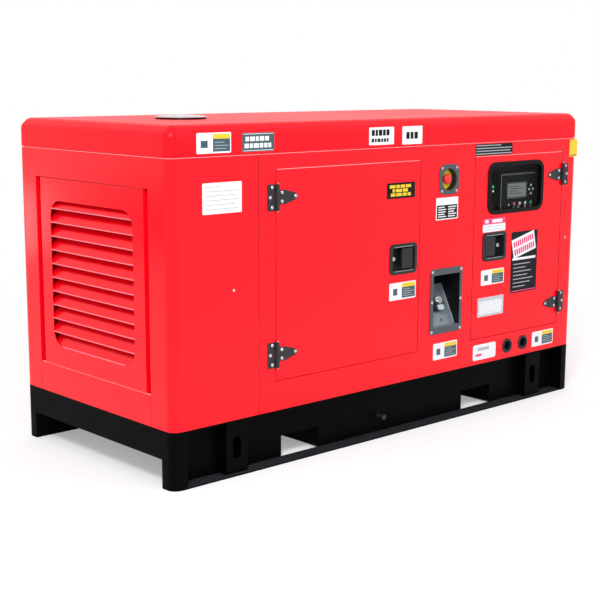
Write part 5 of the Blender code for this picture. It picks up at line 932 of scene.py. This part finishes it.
noticeMarks = [(0.47, 0.70, 0.97, 0.93, "y"), (0.47, 0.08, 0.97, 0.70, "t"), (0.14, 0.28, 0.30, 0.66, "t")]
noticeLines = bars(4, 0.14, 0.64, 0.52, 0.92, "g", 0.25, (0.02, 0.10, 0.0, 0.14))
stickers = [
    ("roofNoticeSticker", "canopy", (-0.989, 1.128, -0.844, 1.196), "w",
     [(0.47, 0.70, 0.97, 0.93, "y"), (0.47, 0.08, 0.97, 0.70, "t"), (0.12, 0.28, 0.32, 0.62, "t")]
     + bars(3, 0.14, 0.60, 0.52, 0.92, "g", 0.22, (0.06, 0.0, 0.12))),
    ("roofSlateSticker", "canopy", (-0.796, 1.127, -0.653, 1.191), "t",
     [(0.03, 0.05, 0.97, 0.08, "w"), (0.03, 0.92, 0.97, 0.95, "w")]
     + dashes(0.56, 0.80, 0.10, 0.92, "w", (0.11, 0.15, 0.09, 0.14, 0.12))
     + dashes(0.20, 0.44, 0.07, 0.94, "w", (0.13, 0.09, 0.16, 0.11, 0.10, 0.09))),
    ("roofPlainStickerLeft", "canopy", (-0.192, 1.129, -0.060, 1.194), "w",
     dashes(0.52, 0.86, 0.10, 0.92, "k", (0.12, 0.10, 0.14, 0.11, 0.12))
     + dashes(0.16, 0.36, 0.10, 0.92, "k", (0.10, 0.07, 0.12, 0.08, 0.09, 0.07))),
    ("roofPlainStickerRight", "canopy", (-0.015, 1.126, 0.096, 1.194), "w",
     dashes(0.30, 0.68, 0.20, 0.84, "k", (0.16, 0.14, 0.17), 0.05)),
    ("leftBaySheet", "canopy", (-0.967, 0.927, -0.799, 1.031), "w",
     bars(6, 0.08, 0.94, 0.08, 0.92, "g", 0.16, (0.0, 0.06, 0.02, 0.10, 0.0, 0.45))),
    ("blackYellowSticker", "engine_door", (-0.094, 0.924, 0.061, 0.984), "k",
     dashes(0.66, 0.86, 0.10, 0.92, "y", (0.20, 0.12, 0.16, 0.18))
     + dashes(0.40, 0.60, 0.20, 0.84, "y", (0.08, 0.22, 0.18))
     + dashes(0.14, 0.34, 0.14, 0.90, "y", (0.16, 0.20, 0.14, 0.12))),
    ("serviceTableSticker", "canopy", (0.184, 0.824, 0.314, 0.911), "w",
     [(0.04, 0.05, 0.96, 0.66, "k")] + bars(5, 0.09, 0.62, 0.10, 0.46, "w", 0.46, (0.0, 0.08, 0.03))
     + bars(5, 0.09, 0.62, 0.55, 0.92, "w", 0.46, (0.05, 0.0, 0.10))),
    ("topStripSticker", "canopy", (0.413, 1.066, 0.647, 1.112), "k",
     bars(4, 0.02, 0.98, 0.02, 0.98, "g", 0.32, (0.0, 0.04, 0.0, 0.30))),
    ("magentaBandSticker", "control_door", (0.472, 0.752, 0.616, 0.808), "w",
     [(0.0, 0.56, 1.0, 1.0, "p"), (0.10, 0.66, 0.24, 0.90, "w"), (0.40, 0.66, 0.86, 0.90, "w")]
     + bars(2, 0.08, 0.50, 0.08, 0.92, "g", 0.12)),
    ("tallInstructionSticker", "control_door", (0.660, 0.479, 0.836, 0.739), "k",
     [(0.06, 0.535, 0.94, 0.575, "w")]
     + bars(7, 0.07, 0.50, 0.10, 0.86, "g", 0.22, (0.30, 0.12, 0.0, 0.22, 0.08))
     + [(0.03, 0.02, 0.97, 0.035, "p")]),
    ("doorNoticeSticker", "control_door", (0.469, 0.533, 0.616, 0.596), "w", noticeMarks + noticeLines),
    ("silverDataPlate", "control_door", (0.452, 0.402, 0.618, 0.482), "s",
     [(0.07, 0.12, 0.93, 0.80, "w")] + bars(5, 0.14, 0.78, 0.09, 0.91, "g", 0.14)),
    ("fillerNoticeSticker", "canopy", (0.185, 0.262, 0.329, 0.329), "w", noticeMarks + noticeLines),
    ("latchNoticeSticker", "engine_door", (-0.072, 0.533, 0.075, 0.600), "w", noticeMarks + noticeLines),
    ("roundedWhiteSticker", "canopy", (0.431, 0.222, 0.577, 0.287), "w",
     [(0.20, 0.60, 0.70, 0.78, "g"), (0.12, 0.24, 0.38, 0.40, "p")]),
    ("rightNoticeSticker", "canopy", (0.823, 0.226, 0.970, 0.291), "w", noticeMarks + noticeLines),
    ("rightYellowSticker", "canopy", (1.040, 1.038, 1.094, 1.112), "y", [(0.08, 0.06, 0.92, 0.10, "k")]),
]
for name, carrier, box, ground, marks in stickers:
    addSticker(name, bodyOf.get(carrier, "canopy"), box, ground, marks)

# the pale patch set askew over the tall sticker
patch = {"centre": (0.744, 0, 0.682), "width": 0.152, "height": 0.080, "tilt": 13.0, "thickness": 0.0007,
         "sink": 0.0002, "ink": 0.0001, "rows": (-0.030, 0.004), "rowHeight": 0.024, "dashes": 10,
         "pitch": 0.0138, "dash": 0.0098, "start": -0.067}
skin = frontY - patch["thickness"]
tilted = [addBlock((-patch["width"] / 2, skin, -patch["height"] / 2),
                   (patch["width"] / 2, frontY - patch["sink"], patch["height"] / 2))]
tilted[0].data.materials.append(vinylWhite)
for rowLow in patch["rows"]:
    for index in range(patch["dashes"]):
        left = patch["start"] + index * patch["pitch"]
        mark = addBlock((left, skin - patch["ink"], rowLow),
                        (left + patch["dash"], skin + patch["ink"], rowLow + patch["rowHeight"]))
        mark.data.materials.append(vinylPink)
        tilted.append(mark)
patchPiece = joinUp(tilted)
patchPiece.rotation_euler = (0, -math.radians(patch["tilt"]), 0)
patchPiece.location = patch["centre"]
applyPlace(patchPiece)
finishPiece(patchPiece, "askewPatchSticker", bodyOf["control_door"], None)

print("machinery details")
engine = {"boltsX": [-0.455, -0.375, -0.295, -0.215, -0.135, -0.075], "boltsY": (-0.047, 0.047),
          "bolt": (0.0075, 0.005), "filterX": (-0.412, -0.328), "filterZ": (0.41, 0.547), "filterY": -0.136}
paintFaces("engineBlock", [filterPaint],
           lambda centre, normal: engine["filterX"][0] < centre.x < engine["filterX"][1]
           and centre.y < engine["filterY"] and engine["filterZ"][0] < centre.z < engine["filterZ"][1])
placeHeads("rockerCoverBolts", product(engine["boltsX"], engine["boltsY"], [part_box("engine_block")[1].z]),
           upward, engine["bolt"], bodyOf["engine_block"])

terminal = {"low": (0.215, -0.115), "high": (0.445, 0.115), "lift": 0.0002, "thick": 0.005, "corner": 0.010,
            "edge": 0.001, "screwsX": (0.232, 0.330, 0.428), "screwsY": (-0.100, 0.100),
            "screw": (0.006, 0.003)}
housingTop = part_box("generator_housing")[1].z
boxLid = roundedBlock((*terminal["low"], housingTop + terminal["lift"]),
                      (*terminal["high"], housingTop + terminal["thick"]), "Z", terminal["corner"], 4)
roundEdges(boxLid, terminal["edge"])
finishPiece(boxLid, "terminalBoxLid", bodyOf["generator_housing"], radiatorPaint)
placeHeads("terminalLidScrews",
           product(terminal["screwsX"], terminal["screwsY"], [housingTop + terminal["thick"]]), upward,
           terminal["screw"], bodyOf["generator_housing"])

fins = {"pitch": 0.014, "thick": 0.0045, "count": 46, "deep": 0.0105, "inset": 0.0005, "side": 0.053,
        "foot": 0.075}
coreLow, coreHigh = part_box("radiator")
stacks = []
for finX in (coreLow.x + fins["inset"], coreHigh.x - fins["inset"] - fins["deep"]):
    fin = addBlock((finX, coreLow.y + fins["side"], coreLow.z + fins["foot"]),
                   (finX + fins["deep"], coreHigh.y - fins["side"], coreLow.z + fins["foot"] + fins["thick"]))
    applyModifier(fin, "ARRAY", count=fins["count"], use_relative_offset=False, use_constant_offset=True,
                  constant_offset_displace=(0, 0, fins["pitch"]))
    stacks.append(fin)
finishPiece(joinUp(stacks), "radiatorFins", bodyOf["radiator"], mufflerSkin)

vent = {"count": 6, "pitch": 0.042, "radius": 0.0115, "height": 0.004, "edge": 0.001, "in": 0.072,
        "seat": 0.3422, "postsFrom": 0.3425}
paintFaces("batteryCase", [turnedSteel], lambda centre, normal: centre.z > vent["postsFrom"])
caseLow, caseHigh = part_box("battery")
firstVent = (caseLow.x + caseHigh.x - vent["pitch"] * (vent["count"] - 1)) / 2
vents = [turnProfile([(vent["radius"], 0.0), (vent["radius"], vent["height"] - vent["edge"]),
                      (vent["radius"] - vent["edge"], vent["height"])],
                     (firstVent + vent["pitch"] * i, caseHigh.y - vent["in"], vent["seat"]), upward, 24)
         for i in range(vent["count"])]
finishPiece(joinUp(vents), "batteryVents", bodyOf["battery"], buttonRed)

plate = {"box": (0.462, 0.520, 0.944, 0.792), "thick": 0.0022, "lift": 0.0002, "corner": 0.006,
         "edge": 0.0006, "screwInset": 0.014, "screw": (0.0055, 0.0026)}
left, low, right, high = plate["box"]
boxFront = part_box("control_box")[0].y
sheet = roundedBlock((left, boxFront - plate["thick"], low), (right, boxFront - plate["lift"], high), "Y",
                     plate["corner"], 4)
roundEdges(sheet, plate["edge"])
finishPiece(sheet, "terminalCover", bodyOf["control_box"], controllerPlastic)
inset = plate["screwInset"]
placeHeads("terminalCoverScrews",
           product((left + inset, (left + right) / 2, right - inset), [boxFront - plate["thick"]],
                   (low + inset, high - inset)), front, plate["screw"], bodyOf["control_box"])

print("back access panel screws")
access = {"inset": 0.020, "across": 8, "up": 4, "screw": (0.0085, 0.0036), "seat": 0.0023}
panelLow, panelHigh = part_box("back_access_panel")
screwLeft, screwRight = panelLow.x + access["inset"], panelHigh.x - access["inset"]
screwLow, screwHigh = panelLow.z + access["inset"], panelHigh.z - access["inset"]
stepX = (screwRight - screwLeft) / (access["across"] - 1)
stepZ = (screwHigh - screwLow) / (access["up"] + 1)
places = [(screwLeft + stepX * i, z) for i in range(access["across"]) for z in (screwLow, screwHigh)]
places += [(x, screwLow + stepZ * (i + 1)) for i in range(access["up"]) for x in (screwLeft, screwRight)]
placeHeads("accessPanelScrews", [(x, backY + access["seat"], z) for x, z in places], back,
           access["screw"], bodyOf["back_access_panel"])

print("foam linings")
# each sheet stands behind its door, or before the back panel: left, low, right and high
foam = {"thickness": 0.014, "corner": 0.012, "edge": 0.004, "doorGap": 0.0035, "backY": 0.4575}
doorFoamY = frontY + foam["doorGap"]
linings = [("backPanelFoam", "back_access_panel", foam["backY"], (-0.580, 0.340, 0.840, 1.035)),
           ("engineDoorFoam", "engine_door", doorFoamY, (-0.625, 0.335, -0.090, 1.040)),
           ("controlDoorFoam", "control_door", doorFoamY, (0.435, 0.335, 0.970, 0.600))]
for name, node, foamY, (left, low, right, high) in linings:
    sheet = roundedBlock((left, foamY, low), (right, foamY + foam["thickness"], high), "Y", foam["corner"], 4)
    roundEdges(sheet, foam["edge"], 3)
    finishPiece(sheet, name, bodyOf[node], acousticFoam)

print("floor, lights and camera")
# each softbox has its place, what it aims at, its power in watts and its size
studio = {
    "floorSize": 24.0, "floorColour": "#D8D8D8", "fadeStart": 2.0, "fadeEnd": 3.6, "floorLift": 0.32,
    "skyStrength": 0.86,
    "key": ((-3.4, -3.0, 3.6), (0, 0, 0.6), 150, 0.9),
    "fill": ((3.2, -4.2, 2.6), (0, 0, 0.6), 60, 3.0),
    "side": ((-2.5, 3.1, 0.50), (-1.1, 0.2, 0.7), 2.2, 0.40),
    "flagSize": (3.4, 0.55), "flagPlace": (-3.8, 4.2, 0.30), "flagTurn": 33.0, "flagColour": "#606060",
    "cameraPlace": (-3.5167, -3.7648, 1.3851), "cameraHeading": 42.22, "cameraTilt": 10.12, "cameraRoll": 0.2,
    "cameraLens": 75.85, "cameraSensor": 36.0,
}


def addCard(name, materialName, colour, size, place, turn=(0, 0, 0)):
    # a flat matt card of the studio, with its own material
    clearPick()
    bpy.ops.mesh.primitive_plane_add(size=1, location=place)
    card = bpy.context.active_object
    card.name = name
    card.scale = (*size, 1)
    card.rotation_euler = turn
    material, tree, shader = newMaterial(materialName)
    shader.inputs["Base Color"].default_value = hexToLinear(colour)
    shader.inputs["Roughness"].default_value = 0.9
    card.data.materials.append(material)
    return card, tree, shader


def seenDirectly(tree):
    # 1 where the camera, a mirror or clear plastic looks at the surface, 0 where it only lights the object
    rays = addNode(tree, "ShaderNodeLightPath").outputs
    mirrored = addNode(tree, "ShaderNodeMath", {"operation": "MAXIMUM"},
                       {0: rays["Is Camera Ray"], 1: rays["Is Glossy Ray"]})
    return addNode(tree, "ShaderNodeMath", {"operation": "MAXIMUM"},
                   {0: mirrored.outputs[0], 1: rays["Is Transmission Ray"]}).outputs[0]


# the floor keeps the shadow near the object and fades to plain white round it
floor, floorTree, floorShader = addCard("studioFloor", "paleFloor", studio["floorColour"],
                                        (studio["floorSize"], studio["floorSize"]), (0, 0, 0))
applyPlace(floor)
floorShader.inputs["Specular IOR Level"].default_value = 0.0
seen = seenDirectly(floorTree)
floorPlace = addNode(floorTree, "ShaderNodeTexCoord").outputs["Object"]
distance = addNode(floorTree, "ShaderNodeVectorMath", {"operation": "LENGTH"}, {0: floorPlace})
fade = addNode(floorTree, "ShaderNodeMapRange", {"interpolation_type": "SMOOTHSTEP"},
               {0: distance.outputs["Value"], "From Min": studio["fadeStart"], "From Max": studio["fadeEnd"]})
fadeSeen, liftSeen = (addNode(floorTree, "ShaderNodeMath", {"operation": "MULTIPLY"}, {0: seen, 1: level})
                      for level in (fade.outputs[0], studio["floorLift"]))
lift = addNode(floorTree, "ShaderNodeEmission", inputs={"Strength": liftSeen.outputs[0]})
lit = addNode(floorTree, "ShaderNodeAddShader", inputs={0: floorShader.outputs[0], 1: lift.outputs[0]})
white = addNode(floorTree, "ShaderNodeEmission")
blendFloor = addNode(floorTree, "ShaderNodeMixShader",
                     inputs={0: fadeSeen.outputs[0], 1: lit.outputs[0], 2: white.outputs[0]})
floorTree.links.new(blendFloor.outputs[0], floorTree.nodes["Material Output"].inputs["Surface"])

# a low grey card that only the gloss of the left end sees, so that the end is deeper above than below
flag = addCard("greyFlag", "greyCard", studio["flagColour"], studio["flagSize"], studio["flagPlace"],
               (math.pi / 2, 0, math.radians(studio["flagTurn"])))[0]
flag.visible_camera = flag.visible_diffuse = flag.visible_shadow = False

world = bpy.data.worlds.new("paleStudio")
bpy.context.scene.world = world
world.use_nodes = True
sky = world.node_tree.nodes["Background"]
skyLevel = addNode(world.node_tree, "ShaderNodeMapRange", inputs={
    0: seenDirectly(world.node_tree), "To Min": studio["skyStrength"], "To Max": 1.0})
world.node_tree.links.new(skyLevel.outputs[0], sky.inputs["Strength"])
sky.inputs["Color"].default_value = (1.0, 1.0, 1.0, 1.0)


def addSoftbox(name, place, target, power, size, glossy=True):
    bpy.ops.object.light_add(type="AREA", location=place)
    lamp = bpy.context.active_object
    lamp.name = name
    lamp.data.energy = power
    lamp.data.size = size
    lamp.rotation_euler = (Vector(target) - Vector(place)).to_track_quat("-Z", "Y").to_euler()
    lamp.visible_glossy = glossy


addSoftbox("keySoftbox", *studio["key"])
addSoftbox("fillSoftbox", *studio["fill"], glossy=False)
addSoftbox("sideSoftbox", *studio["side"])

bpy.ops.object.camera_add(location=studio["cameraPlace"])
camera = bpy.context.active_object
camera.name = "catalogueCamera"
camera.data.lens = studio["cameraLens"]
camera.data.sensor_width = studio["cameraSensor"]
aim = (Matrix.Rotation(-math.radians(studio["cameraHeading"]), 3, "Z")
       @ Matrix.Rotation(math.pi / 2 - math.radians(studio["cameraTilt"]), 3, "X")
       @ Matrix.Rotation(math.radians(studio["cameraRoll"]), 3, "Z"))
camera.rotation_euler = aim.to_euler()
bpy.context.scene.camera = camera
bpy.context.scene.view_settings.view_transform = "Standard"
